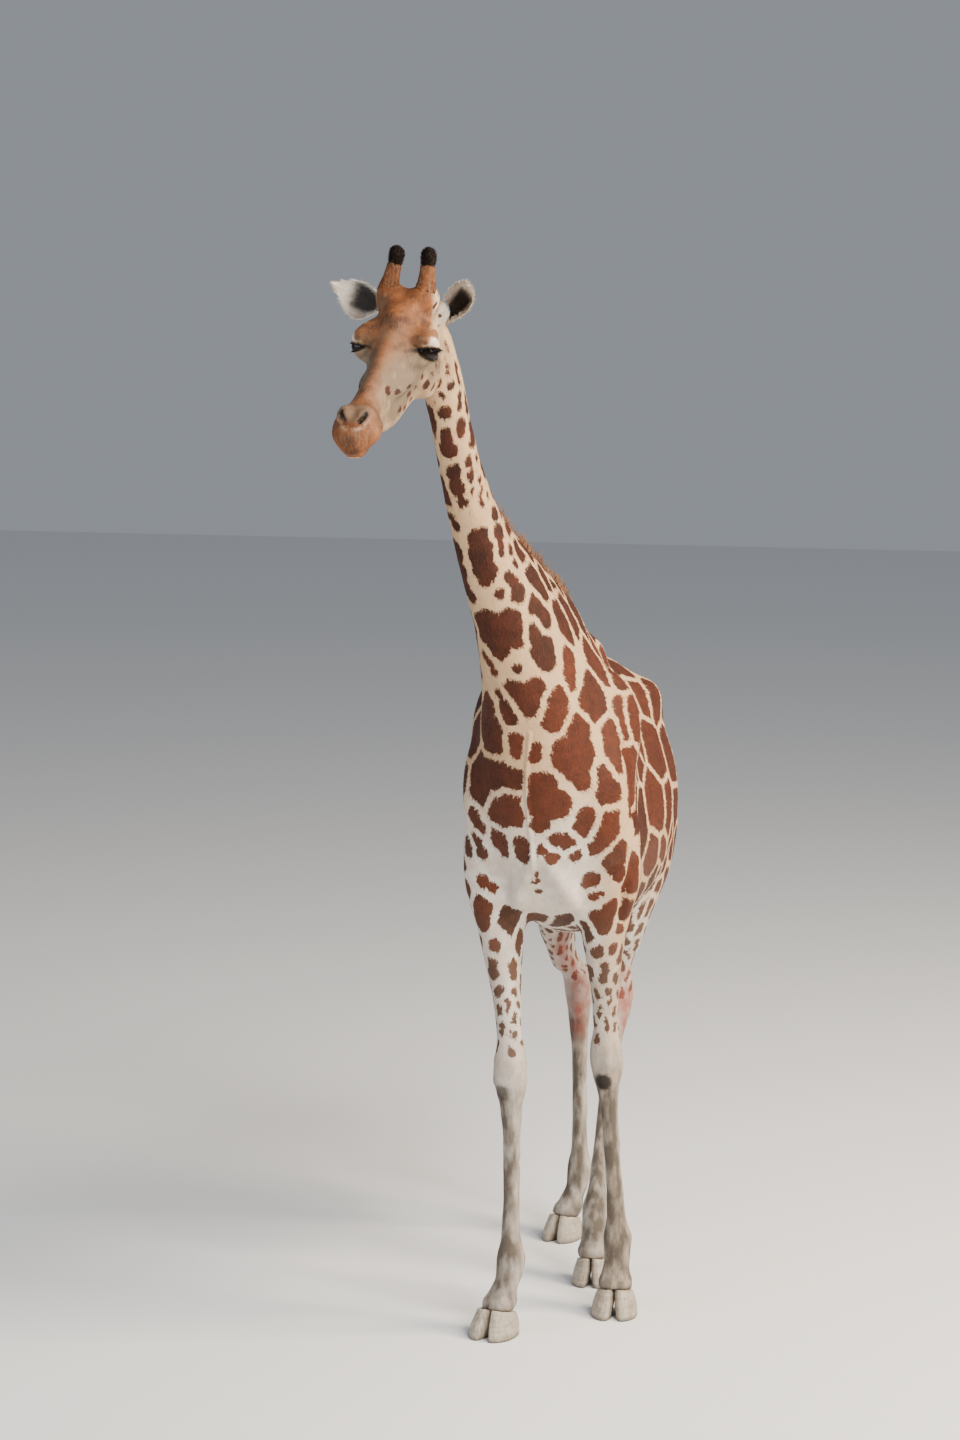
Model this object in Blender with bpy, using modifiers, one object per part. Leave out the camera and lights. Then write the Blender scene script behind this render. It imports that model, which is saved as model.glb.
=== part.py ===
"""A young reticulated giraffe standing with its head turned, life size, as a still museum model.

Metres, +Z up. The giraffe faces -Y and its left side is +X. The soles stand on z = 0.
The flesh is modelled whole, from lofts along the spine and the limbs, and parted with thin cuts.
"""

import math
from collections import namedtuple

import bmesh
import bpy
from mathutils import Matrix, Vector

# ------------------------------------------------------------------ driving sizes
GAP = 0.0003  # clearance between neighbouring solids
BODY_VOXEL = 0.009  # fineness at which the body's lofts are joined
HEAD_VOXEL = 0.0042  # the head's, which has smaller forms
BODY_TRIANGLES = 2540
HEAD_TRIANGLES = 1020
RING_SIDES = 32  # points round a lofted section
THIN_SIDES = 10  # round ossicones and tail
EYE_SIDES = 14
BODY_ROUNDING = 60  # passes that melt the body's lofts into each other
ROUND_FROM, ROUND_TO = 1.22, 2.70  # heights between which they work in full

HOOF_HEIGHT = 0.085
HOOF_LENGTH = 0.165
HOOF_WIDTH = 0.160  # both claws
HIND_HOOF_SCALE = 0.86
CLEFT = 0.010  # between the claws at the toe
CORONET_SLOPE = 0.22  # the hair line is higher at the toe
CLAW_SIDES = 14
# A claw's sections, sole up: height, share of the full size, how far they sit back.
CLAW_SECTIONS = ((0.0, 0.985, 0.0), (0.005, 1.0, 0.0), (0.060, 0.90, 0.014), (0.160, 0.72, 0.045))
CLAW_SETBACK = 0.008
CLAW_ROUNDNESS = (0.75, 0.85)  # powers across and along; 1 is an ellipse
TOE_REACH, HEEL_REACH = 1.06, 0.86
TOE_NARROWING = 0.38

HEAD_PLACE = Vector((-0.232, -0.543, 3.385))  # middle of the skull between the ears, level with the eyes
HEAD_SCALE = 1.04
HEAD_YAW = math.radians(-2.7)  # turned to the giraffe's right
HEAD_PITCH = math.radians(23.5)  # of the line from eye to nostril, nose down
HEAD_ROLL = math.radians(4.6)
EYE_RADIUS = 0.024
EYE = Vector((0.213, 0.101, 0.004))  # head frame: forward, left, up
OSSICONE_LENGTH = 0.130
OSSICONE_RADIUS = 0.024
OSSICONE_ROOT = Vector((0.082, 0.056, 0.122))
# Places along the ossicone and radii there, as shares of its length and radius: the stem, then its tuft.
OSSICONE_STEM = ((-0.45, 1.00), (0.0, 1.38), (0.3, 1.05), (0.62, 0.92))
OSSICONE_TUFT = ((0.63, 1.02), (0.8, 1.16), (0.93, 1.0), (1.0, 0.35))
OSSICONE_LEANS = {"left": Vector((-0.40, 0.02, 0.91)), "right": Vector((-0.40, 0.17, 0.90))}

MANE_HEIGHT = 0.038
MANE_HALF_WIDTH = 0.014
MANE_ROOT = 0.030  # how deep the crest is sunk in the neck
MANE_FIRST_SECTION = 6  # of SPINE, at the withers
MANE_SIDES = 8

# The spine's sections, tail to poll: back line, under line, half width, how far the top narrows, side shift.
Spine = namedtuple("Spine", "back_y back_z under_y under_z half narrow x")
SPINE = (
    Spine(1.490, 1.880, 1.515, 1.740, 0.060, 0.20, 0.000),
    Spine(1.430, 1.975, 1.455, 1.610, 0.150, 0.30, 0.000),
    Spine(1.300, 2.065, 1.320, 1.480, 0.225, 0.34, 0.000),
    Spine(1.120, 2.162, 1.120, 1.370, 0.278, 0.36, 0.000),
    Spine(0.920, 2.215, 0.900, 1.285, 0.305, 0.38, 0.000),
    Spine(0.760, 2.250, 0.680, 1.265, 0.300, 0.46, 0.000),
    Spine(0.650, 2.318, 0.460, 1.300, 0.285, 0.52, 0.000),
    Spine(0.565, 2.378, 0.260, 1.375, 0.270, 0.55, 0.000),
    Spine(0.488, 2.430, 0.110, 1.500, 0.255, 0.57, 0.000),
    Spine(0.408, 2.484, 0.005, 1.680, 0.240, 0.57, -0.002),
    Spine(0.302, 2.518, -0.052, 1.870, 0.205, 0.55, -0.008),
    Spine(0.185, 2.575, -0.105, 2.060, 0.160, 0.45, -0.022),
    Spine(0.030, 2.660, -0.180, 2.290, 0.117, 0.35, -0.054),
    Spine(-0.125, 2.778, -0.267, 2.520, 0.088, 0.25, -0.100),
    Spine(-0.246, 2.932, -0.357, 2.745, 0.071, 0.15, -0.137),
    Spine(-0.336, 3.095, -0.450, 2.955, 0.062, 0.10, -0.156),
    Spine(-0.396, 3.255, -0.535, 3.110, 0.061, 0.10, -0.168),
    Spine(-0.450, 3.372, -0.598, 3.225, 0.064, 0.10, -0.190),
    Spine(-0.515, 3.448, -0.655, 3.315, 0.062, 0.10, -0.215),
)

# A limb's sections, ground up: height, half width, half depth, how far they sit forward of the bone line.
Section = namedtuple("Section", "z half_width half_depth forward")
FORE_SECTIONS = (
    Section(0.060, 0.060, 0.066, 0.000),
    Section(0.100, 0.058, 0.060, 0.000),
    Section(0.160, 0.048, 0.050, 0.004),
    Section(0.225, 0.050, 0.056, -0.004),
    Section(0.265, 0.048, 0.055, -0.004),
    Section(0.330, 0.035, 0.043, 0.000),
    Section(0.480, 0.030, 0.038, 0.000),
    Section(0.660, 0.031, 0.040, 0.000),
    Section(0.780, 0.042, 0.047, 0.004),
    Section(0.840, 0.056, 0.056, 0.008),
    Section(0.910, 0.059, 0.058, 0.008),
    Section(0.970, 0.050, 0.056, 0.000),
    Section(1.060, 0.045, 0.056, -0.004),
    Section(1.200, 0.058, 0.074, -0.006),
    Section(1.340, 0.081, 0.100, -0.008),
    Section(1.500, 0.116, 0.135, -0.010),
    Section(1.680, 0.118, 0.165, 0.000),
    Section(1.860, 0.105, 0.170, 0.000),
    Section(2.040, 0.080, 0.135, 0.000),
    Section(2.180, 0.030, 0.080, 0.000),
)
HIND_SECTIONS = (
    Section(0.060, 0.055, 0.062, 0.000),
    Section(0.100, 0.052, 0.057, 0.000),
    Section(0.160, 0.044, 0.047, 0.004),
    Section(0.225, 0.047, 0.054, -0.004),
    Section(0.265, 0.045, 0.053, -0.004),
    Section(0.330, 0.033, 0.042, 0.000),
    Section(0.500, 0.029, 0.038, 0.000),
    Section(0.680, 0.031, 0.043, 0.000),
    Section(0.800, 0.039, 0.055, -0.004),
    Section(0.880, 0.049, 0.066, -0.012),
    Section(0.960, 0.052, 0.068, -0.018),
    Section(1.050, 0.062, 0.082, -0.010),
    Section(1.170, 0.070, 0.115, 0.000),
    Section(1.300, 0.082, 0.168, 0.000),
    Section(1.450, 0.092, 0.228, 0.000),
    Section(1.620, 0.105, 0.280, 0.000),
    Section(1.780, 0.100, 0.280, 0.000),
    Section(1.920, 0.070, 0.190, 0.000),
    Section(2.010, 0.035, 0.100, 0.000),
)

# Where each limb's bone line runs, ground up, and how far the toe turns outwards.
Limb = namedtuple("Limb", "line sections toe_out")
LIMBS = {
    "fore_right": Limb(
        ((-0.146, 0.085, 0.06), (-0.120, 0.125, 0.16), (-0.107, 0.145, 0.26), (-0.105, 0.140, 0.90),
         (-0.165, 0.235, 1.35), (-0.180, 0.265, 1.60), (-0.150, 0.300, 1.95), (-0.110, 0.380, 2.18)),
        FORE_SECTIONS, math.radians(12)),
    "fore_left": Limb(
        ((0.194, 0.405, 0.06), (0.192, 0.440, 0.16), (0.190, 0.462, 0.26), (0.158, 0.425, 0.90),
         (0.165, 0.335, 1.35), (0.180, 0.300, 1.60), (0.150, 0.310, 1.95), (0.110, 0.380, 2.18)),
        FORE_SECTIONS, math.radians(8)),
    "hind_right": Limb(
        ((-0.180, 1.235, 0.06), (-0.150, 1.275, 0.16), (-0.135, 1.305, 0.26), (-0.156, 1.365, 0.90),
         (-0.192, 1.340, 0.99), (-0.214, 1.305, 1.09), (-0.215, 1.268, 1.20), (-0.165, 1.200, 1.45), (-0.130, 1.190, 1.75),
         (-0.100, 1.190, 2.01)),
        HIND_SECTIONS, math.radians(16)),
    "hind_left": Limb(
        ((0.040, 0.735, 0.06), (0.038, 0.775, 0.16), (0.038, 0.805, 0.26), (0.046, 1.080, 0.92),
         (0.086, 1.075, 1.20), (0.150, 1.095, 1.45), (0.130, 1.160, 1.75), (0.100, 1.180, 2.01)),
        HIND_SECTIONS, math.radians(6)),
}

# Bones and muscles that stand out of the lofts: centre (right side is mirrored), radii.
SWELLINGS = (
    ((0.135, 1.040, 2.020), (0.085, 0.190, 0.095)),  # point of the hip
    ((0.070, 1.450, 1.800), (0.050, 0.050, 0.090)),  # point of the buttock
    ((0.180, 0.210, 1.830), (0.110, 0.155, 0.230)),  # point of the shoulder
    ((0.165, 0.340, 2.000), (0.124, 0.190, 0.230)),  # shoulder blade
    ((0.065, 0.190, 1.600), (0.085, 0.105, 0.180)),  # breast muscle
    ((0.065, 0.580, 2.235), (0.045, 0.160, 0.075)),  # shoulder blade's top
)

# The head's sections, poll to lip: place along it, top, bottom, half width, how far top and bottom narrow.
Head = namedtuple("Head", "u top bottom half narrow_top narrow_bottom")
HEAD = (
    Head(-0.048, 0.050, -0.075, 0.050, 0.20, 0.20),
    Head(-0.020, 0.082, -0.120, 0.078, 0.25, 0.25),
    Head(0.030, 0.112, -0.162, 0.092, 0.30, 0.30),
    Head(0.085, 0.128, -0.186, 0.098, 0.32, 0.38),
    Head(0.145, 0.122, -0.192, 0.102, 0.30, 0.45),
    Head(0.210, 0.098, -0.186, 0.102, 0.28, 0.50),
    Head(0.280, 0.070, -0.172, 0.088, 0.34, 0.48),
    Head(0.360, 0.047, -0.154, 0.067, 0.34, 0.40),
    Head(0.440, 0.030, -0.140, 0.055, 0.28, 0.33),
    Head(0.520, 0.017, -0.130, 0.052, 0.22, 0.28),
    Head(0.580, 0.008, -0.127, 0.058, 0.20, 0.26),
    Head(0.630, -0.008, -0.126, 0.060, 0.20, 0.28),
    Head(0.662, -0.030, -0.114, 0.048, 0.15, 0.25),
    Head(0.680, -0.055, -0.094, 0.028, 0.10, 0.20),
)
# Forms on each side of the head: centre forward, left, up; radii likewise.
HEAD_SWELLINGS = (
    ((0.196, 0.082, 0.014), (0.088, 0.036, 0.050)),  # rim of the orbit
    ((0.130, 0.062, -0.095), (0.095, 0.036, 0.085)),  # cheek
    ((0.300, 0.054, -0.048), (0.105, 0.024, 0.026)),  # ridge from cheek to muzzle
    ((0.598, 0.030, -0.014), (0.045, 0.022, 0.022)),  # nostril
    ((0.598, 0.037, -0.066), (0.068, 0.030, 0.036)),  # upper lip
    ((0.008, 0.074, 0.030), (0.040, 0.032, 0.044)),  # root of the ear
    ((0.078, 0.052, 0.104), (0.052, 0.043, 0.050)),  # root of the ossicone
)
HEAD_MIDLINE_SWELLINGS = (
    ((0.150, 0.000, 0.098), (0.078, 0.050, 0.030)),  # forehead boss
    ((0.610, 0.000, -0.114), (0.052, 0.038, 0.024)),  # chin
    ((0.652, 0.000, -0.062), (0.032, 0.044, 0.034)),  # tip of the upper lip
)

# Ears: direction in the head frame (forward, left, up) and the way the cup faces.
Ear = namedtuple("Ear", "root along faces")
EAR_LENGTH = 0.170
EAR_HALF_WIDTH = 0.044
EAR_THICKNESS = 0.008
EAR_STEPS = 4  # from the middle of the cup to its rim
# Along the ear: share of its length, share of its half width, how far the cup is rolled (radians).
EAR_PROFILE = ((0.00, 0.40, 2.1), (0.12, 0.52, 1.9), (0.30, 0.82, 1.5), (0.50, 1.00, 1.2), (0.68, 0.88, 1.0),
               (0.84, 0.56, 0.8), (0.95, 0.24, 0.6), (1.00, 0.06, 0.5))
EARS = {
    "ear_left": Ear(Vector((0.000, 0.076, 0.002)), Vector((0.20, 0.53, 0.80)), Vector((0.88, -0.46, -0.05))),
    "ear_right": Ear(Vector((0.000, -0.100, 0.034)), Vector((-0.26, -0.94, 0.20)),
                     Vector((0.85, 0.15, 0.50))),
}

# Thin cuts that part the flesh: a point on the cut and the direction towards the far part.
NECK_CUTS = {
    "neck_lower": (Vector((-0.02, 0.060, 2.340)), Vector((-0.10, -0.60, 0.79))),
    "neck_upper": (Vector((-0.11, -0.210, 2.800)), Vector((-0.12, -0.62, 0.77))),
}
JOINT_HEIGHT = 0.900  # of the cuts through knee and hock
LIMB_TOPS = {"fore": 1.560, "hind": 1.600}  # where a limb ends in the trunk
LIMB_TOP_SLOPE = 0.6  # of that face, higher outside
SLEEVE_ROOM = 0.030  # the cutting sleeve's distance from the limb
SLEEVE_SIDES = 20
SLEEVE_FLARE_FROM, SLEEVE_FLARE = 1.10, 0.35  # above this height it leans out by this much of the rise

TAIL_LINE = ((0.000, 1.450, 1.925), (-0.004, 1.520, 1.890), (-0.012, 1.565, 1.800), (-0.024, 1.580, 1.650),
             (-0.036, 1.582, 1.450), (-0.044, 1.578, 1.300), (-0.047, 1.576, 1.220))
TAIL_RADII = (0.034, 0.032, 0.026, 0.019, 0.013, 0.010, 0.009)
TAIL_TUFT_LINE = ((-0.047, 1.576, 1.235), (-0.049, 1.577, 1.150), (-0.052, 1.580, 1.000),
                  (-0.052, 1.584, 0.860), (-0.050, 1.588, 0.760))
TAIL_TUFT_RADII = (0.014, 0.026, 0.032, 0.022, 0.006)

COLOURS = {
    "coat_brown": ((0.29, 0.105, 0.038, 1.0), 0.75),
    "coat_cream": ((0.72, 0.58, 0.42, 1.0), 0.80),
    "leg_buff": ((0.50, 0.42, 0.33, 1.0), 0.80),
    "mane_hair": ((0.30, 0.11, 0.05, 1.0), 0.85),
    "black_hair": ((0.03, 0.022, 0.018, 1.0), 0.85),
    "eye_dark": ((0.012, 0.008, 0.006, 1.0), 0.08),
    "hoof_horn": ((0.24, 0.19, 0.15, 1.0), 0.55),
}


# ------------------------------------------------------------------ tools
def clear_scene():
    for old in list(bpy.data.objects):
        bpy.data.objects.remove(old, do_unlink=True)


def new_collection(name):
    made = bpy.data.collections.new(name)
    bpy.context.scene.collection.children.link(made)
    return made


def material(name):
    found = bpy.data.materials.get(name)
    if found:
        return found
    colour, roughness = COLOURS[name]
    made = bpy.data.materials.new(name)
    made.use_nodes = True
    shader = made.node_tree.nodes["Principled BSDF"]
    shader.inputs["Base Color"].default_value = colour
    shader.inputs["Roughness"].default_value = roughness
    shader.inputs["Metallic"].default_value = 0.0
    made.diffuse_color = colour
    return made


def add_object(name, mesh, collection):
    made = bpy.data.objects.new(name, mesh)
    collection.objects.link(made)
    return made


def finish_bmesh(bm, name):
    bmesh.ops.recalc_face_normals(bm, faces=bm.faces)
    if bm.calc_volume(signed=True) < 0.0:
        bmesh.ops.reverse_faces(bm, faces=bm.faces)
    mesh = bpy.data.meshes.new(name)
    bm.to_mesh(mesh)
    bm.free()
    return mesh


def helper(name, mesh):
    """A construction object, which is not part of the model."""
    made = add_object("work_" + name, mesh, WORKSHOP)
    made.hide_render = True
    made.display_type = "WIRE"
    return made


def evaluated_mesh(source, name):
    """The source's mesh with its modifiers applied."""
    bpy.context.view_layer.update()
    graph = bpy.context.evaluated_depsgraph_get()
    mesh = bpy.data.meshes.new_from_object(source.evaluated_get(graph))
    mesh.name = name
    return mesh


def curve_through(rows, steps):
    """Rows of numbers, with `steps` smoothly curved rows for each one given (a Catmull-Rom spline)."""
    smooth = []
    last = len(rows) - 1
    for i in range(last):
        before, start, end, after = (rows[max(i - 1, 0)], rows[i], rows[i + 1], rows[min(i + 2, last)])
        for k in range(steps):
            t = k / steps
            smooth.append(tuple(
                b + 0.5 * t * (c - a + t * (2 * a - 5 * b + 4 * c - d + t * (3 * b - a - 3 * c + d)))
                for a, b, c, d in zip(before, start, end, after)))
    smooth.append(tuple(rows[last]))
    return smooth


def along(line, heights):
    """The (x, y) of a bone line at each height."""
    fine = curve_through(line, 12)
    places = []
    for z in heights:
        nearest = min(range(len(fine) - 1), key=lambda i: 0 if fine[i][2] <= z <= fine[i + 1][2]
                      else min(abs(fine[i][2] - z), abs(fine[i + 1][2] - z)))
        a, b = fine[nearest], fine[nearest + 1]
        t = min(max((z - a[2]) / (b[2] - a[2]), 0.0), 1.0)
        places.append((a[0] + (b[0] - a[0]) * t, a[1] + (b[1] - a[1]) * t))
    return places


def turns(count):
    """That many angles, evenly round a circle."""
    return [2 * math.pi * k / count for k in range(count)]


def loft(name, rings):
    """A closed solid through rings of points, one after the other, with flat ends."""
    bm = bmesh.new()
    loops = [[bm.verts.new(p) for p in ring] for ring in rings]
    count = len(rings[0])
    for a, b in zip(loops, loops[1:]):
        for i in range(count):
            bm.faces.new((a[i], a[(i + 1) % count], b[(i + 1) % count]))
            bm.faces.new((a[i], b[(i + 1) % count], b[i]))
    bm.faces.new(loops[0])
    bm.faces.new(loops[-1])
    return helper(name, finish_bmesh(bm, name))


def ellipsoid(name, centre, radii, segments=24):
    bm = bmesh.new()
    place = Matrix.Translation(centre) @ Matrix.Diagonal((*radii, 1.0))
    bmesh.ops.create_uvsphere(bm, u_segments=segments, v_segments=segments // 2, radius=1.0, matrix=place)
    return helper(name, finish_bmesh(bm, name))


def tube(name, line, radii):
    """A round limb of changing thickness along a line of points."""
    rows = curve_through([(*p, r) for p, r in zip(line, radii)], 2)
    rings = []
    for i, row in enumerate(rows):
        ahead, behind = Vector(rows[min(i + 1, len(rows) - 1)][:3]), Vector(rows[max(i - 1, 0)][:3])
        turn = (ahead - behind).to_track_quat("Z", "X").to_matrix()
        rings.append([Vector(row[:3]) + turn @ Vector((math.cos(a), math.sin(a), 0.0)) * row[3]
                      for a in turns(THIN_SIDES)])
    return loft(name, rings)


def rounding_share(z):
    """How much a point of that height takes part in the rounding of the body."""
    return min(max((z - ROUND_FROM) * 8, 0.0), 1.0) * min(max((ROUND_TO - z) * 4, 0.25), 1.0)


def merged(name, pieces, voxel, smoothing, triangles, rounding=0):
    """The pieces joined into one skin, with the joins smoothed, in about that many triangles."""
    bm = bmesh.new()
    for piece in pieces:
        bm.from_mesh(piece.data)
    mesh = bpy.data.meshes.new(name)
    bm.to_mesh(mesh)
    bm.free()
    whole = helper(name, mesh)
    remesh = whole.modifiers.new("join", "REMESH")
    remesh.mode = "VOXEL"
    remesh.voxel_size = voxel
    smooth = whole.modifiers.new("smooth", "SMOOTH")
    smooth.factor = 0.5
    smooth.iterations = smoothing
    fine = helper(name + "_fine", evaluated_mesh(whole, name + "_fine"))
    if rounding:
        high = fine.vertex_groups.new(name="high")
        for vert in fine.data.vertices:
            high.add([vert.index], rounding_share(vert.co.z), "REPLACE")
        soften = fine.modifiers.new("round", "SMOOTH")
        soften.factor = 0.5
        soften.iterations = rounding
        soften.vertex_group = "high"
    faces = 2 * len(fine.data.polygons)
    decimate = fine.modifiers.new("facets", "DECIMATE")
    decimate.ratio = min(1.0, triangles / faces)
    return helper(name + "_faceted", evaluated_mesh(fine, name + "_faceted"))


def boolean(first, second, operation, name):
    """first with second cut from it, kept of it, or joined to it."""
    work = helper(name, first.data.copy())
    modifier = work.modifiers.new("boolean", "BOOLEAN")
    modifier.operation = operation
    modifier.object = second
    result = evaluated_mesh(work, name)
    bpy.data.objects.remove(work)
    return helper(name, result)


def half(source, cut, keep_far, name):
    """The part of the source on one side of a thin cut, closed with a flat face."""
    point, direction = cut
    normal = direction.normalized()
    bm = bmesh.new()
    bm.from_mesh(source.data)
    shift = normal * (GAP / 2 if keep_far else -GAP / 2)
    geometry = bm.verts[:] + bm.edges[:] + bm.faces[:]
    bmesh.ops.bisect_plane(bm, geom=geometry, plane_co=point + shift, plane_no=normal, dist=1e-6,
                           clear_inner=keep_far, clear_outer=not keep_far)
    bmesh.ops.holes_fill(bm, edges=[e for e in bm.edges if e.is_boundary])
    return helper(name, finish_bmesh(bm, name))


def grown(source, amount, name):
    """A copy that stands out by `amount` all over, to cut its neighbours with."""
    work = helper(name, source.data.copy())
    displace = work.modifiers.new("grow", "DISPLACE")
    displace.strength = amount
    displace.mid_level = 0.0
    result = evaluated_mesh(work, name)
    bpy.data.objects.remove(work)
    return helper(name, result)


def largest_piece(source, name):
    """The biggest of the loose bodies in a mesh, without the crumbs that a cut can leave."""
    bm = bmesh.new()
    bm.from_mesh(source.data)
    bm.verts.ensure_lookup_table()
    unseen = set(bm.verts)
    groups = []
    while unseen:
        stack = [unseen.pop()]
        group = set(stack)
        while stack:
            for edge in stack.pop().link_edges:
                for vert in edge.verts:
                    if vert in unseen:
                        unseen.remove(vert)
                        group.add(vert)
                        stack.append(vert)
        groups.append(group)
    keep = max(groups, key=len)
    bmesh.ops.delete(bm, geom=[v for v in bm.verts if v not in keep], context="VERTS")
    return helper(name, finish_bmesh(bm, name))


def node(name, source, material_name):
    """A finished, named piece of the model."""
    made = add_object(name, source.data.copy(), GIRAFFE)
    made.data.materials.clear()
    made.data.materials.append(material(material_name))
    made.data.shade_smooth()
    made.data.set_sharp_from_angle(angle=math.radians(60))
    return made


# ------------------------------------------------------------------ body
def spine_ring(row):
    """One section of trunk or neck: an egg between the back line and the under line."""
    back = Vector((row.x, row.back_y, row.back_z))
    under = Vector((row.x, row.under_y, row.under_z))
    middle, reach = (back + under) / 2, (back - under) / 2
    ring = []
    for a in turns(RING_SIDES):
        upper = (1 + math.cos(a)) / 2
        width = row.half * math.sin(a) * (1 - row.narrow * upper ** 1.5) * (1 + 0.12 * (1 - upper))
        ring.append(middle + reach * math.cos(a) + Vector((width, 0.0, 0.0)))
    return ring


def limb_rings(limb):
    rows = [Section(*r) for r in curve_through(limb.sections, 6)]
    rings = []
    for row, (x, y) in zip(rows, along(limb.line, [r.z for r in rows])):
        centre = Vector((x, y - row.forward, row.z))
        rings.append([centre + Vector((row.half_width * math.cos(a), row.half_depth * math.sin(a), 0.0))
                      for a in turns(RING_SIDES)])
    return rings


def make_body():
    pieces = [loft("spine", [spine_ring(Spine(*r)) for r in curve_through(SPINE, 5)])]
    for name, limb in LIMBS.items():
        pieces.append(loft(name, limb_rings(limb)))
    for i, (centre, radii) in enumerate(SWELLINGS):
        for side in (1, -1):
            pieces.append(ellipsoid(f"swelling_{i}_{side}", (centre[0] * side, *centre[1:]), radii))
    return merged("body", pieces, BODY_VOXEL, 5, BODY_TRIANGLES, rounding=BODY_ROUNDING)


def limb_sleeve(name, limb, grow):
    """A loose sleeve round a limb, up to where it ends inside the trunk in a sloping face."""
    top = LIMB_TOPS[name.split("_")[0]]
    side = 1 if name.endswith("left") else -1
    rows = [Section(*r) for r in curve_through(limb.sections, 2)]
    lid = next(r for r in rows if r.z >= top)._replace(z=top)
    rows = [r for r in rows if 0.2 < r.z < top - 0.15] + [lid]
    rows[0] = rows[0]._replace(z=-0.05, half_width=0.12, half_depth=0.14)  # the foot, with room for the hoof
    rings = []
    for row, (x, y) in zip(rows, along(limb.line, [r.z for r in rows])):
        outward = max(0.0, row.z - SLEEVE_FLARE_FROM) * SLEEVE_FLARE
        width, depth = row.half_width + SLEEVE_ROOM + grow, row.half_depth + SLEEVE_ROOM + grow
        rings.append([Vector((x + side * outward + (width + outward) * math.cos(a),
                              y - row.forward + depth * math.sin(a),
                              row.z + (grow if row is rows[-1] else 0.0)))
                      for a in turns(SLEEVE_SIDES)])
    for point in rings[-1]:
        point.z += LIMB_TOP_SLOPE * (point.x - along(limb.line, [top])[0][0]) * side
    return loft(name + "_sleeve", rings)


def part_body(body, head):
    """Cuts the body into neck, trunk and limbs, each with a thin gap to the next."""
    neck = half(body, NECK_CUTS["neck_lower"], True, "neck")
    node("neck_lower", half(neck, NECK_CUTS["neck_upper"], False, "neck_low"), "coat_brown")
    neck_top = half(neck, NECK_CUTS["neck_upper"], True, "neck_high")
    neck_top = boolean(neck_top, grown(head, GAP, "head_grown"), "DIFFERENCE", "neck_top")
    node("neck_upper", largest_piece(neck_top, "neck_top_whole"), "coat_brown")
    trunk = half(body, NECK_CUTS["neck_lower"], False, "trunk")
    for name, limb in LIMBS.items():
        whole = boolean(trunk, limb_sleeve(name, limb, 0.0), "INTERSECT", name + "_whole")
        whole = largest_piece(whole, name)
        trunk = boolean(trunk, limb_sleeve(name, limb, GAP), "DIFFERENCE", "trunk")
        knee = along(limb.line, [JOINT_HEIGHT])[0]
        cut = (Vector((*knee, JOINT_HEIGHT)), Vector((0.0, 0.0, 1.0)))
        node(name + "_upper", half(whole, cut, True, name + "_high"), "coat_brown")
        lower = half(whole, cut, False, name + "_low")
        node(name + "_lower", half(lower, coronet(limb), True, name + "_shank"), "leg_buff")
        make_hoof(name, limb)
    node("trunk", largest_piece(trunk, "trunk_whole"), "coat_brown")


# ------------------------------------------------------------------ hooves
def foot_place(limb):
    """Where the foot is and which way its toe points."""
    x, y = along(limb.line, [0.06])[0]
    side = 1 if x > 0.0 else -1
    return Vector((x, y, 0.0)), Matrix.Rotation(side * limb.toe_out, 3, "Z")


def coronet(limb):
    """The plane between hair and horn, higher at the toe."""
    place, turn = foot_place(limb)
    return (place + Vector((0.0, 0.0, HOOF_HEIGHT)), turn @ Vector((0.0, CORONET_SLOPE, 1.0)))


def make_hoof(name, limb):
    """Two claws: a flat sole, an outer wall that leans in towards the coronet, a straight inner wall."""
    place, turn = foot_place(limb)
    size = 1.0 if name.startswith("fore") else HIND_HOOF_SCALE
    width = HOOF_WIDTH / 2 * size - CLEFT / 2
    for inner, tag in ((1, "claw_a"), (-1, "claw_b")):
        rings = []
        for height, spread, back in CLAW_SECTIONS:
            length = HOOF_LENGTH / 2 * size * spread
            ring = []
            for a in turns(CLAW_SIDES):
                across, fore = (math.copysign(abs(c) ** power, c)
                                for c, power in zip((math.cos(a), math.sin(a)), CLAW_ROUNDNESS))
                x = width * 0.5 * (1 + across) * (spread if math.cos(a) > -0.5 else 1.0)
                x *= 1 - TOE_NARROWING * max(0.0, math.sin(a)) ** 3
                y = -fore * length * (TOE_REACH if fore > 0 else HEEL_REACH)
                ring.append(place + turn @ Vector((inner * (x + CLEFT / 2), y + back - CLAW_SETBACK, height)))
            rings.append(ring)
        claw = loft(name + tag, rings)
        node(f"{name}_{tag}", half(claw, coronet(limb), False, name + tag + "_horn"), "hoof_horn")


# ------------------------------------------------------------------ head
def head_matrix():
    """Head frame (forward, left, up) to the giraffe's."""
    turn = (Matrix.Rotation(HEAD_YAW, 3, "Z") @ Matrix.Rotation(HEAD_PITCH, 3, "X")
            @ Matrix.Rotation(HEAD_ROLL, 3, "Y"))
    axes = Matrix(((0.0, 1.0, 0.0), (-1.0, 0.0, 0.0), (0.0, 0.0, 1.0)))
    return Matrix.Translation(HEAD_PLACE) @ (turn @ axes).to_4x4() @ Matrix.Scale(HEAD_SCALE, 4)


def head_ring(row):
    middle, reach = (row.top + row.bottom) / 2, (row.top - row.bottom) / 2
    ring = []
    for a in turns(RING_SIDES):
        upper = (1 + math.cos(a)) / 2
        narrow = row.narrow_top * upper ** 2 + row.narrow_bottom * (1 - upper) ** 2
        ring.append(Vector((row.u, row.half * math.sin(a) * (1 - narrow), middle + reach * math.cos(a))))
    return ring


def placed(source):
    source.data.transform(head_matrix())
    return source


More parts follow.
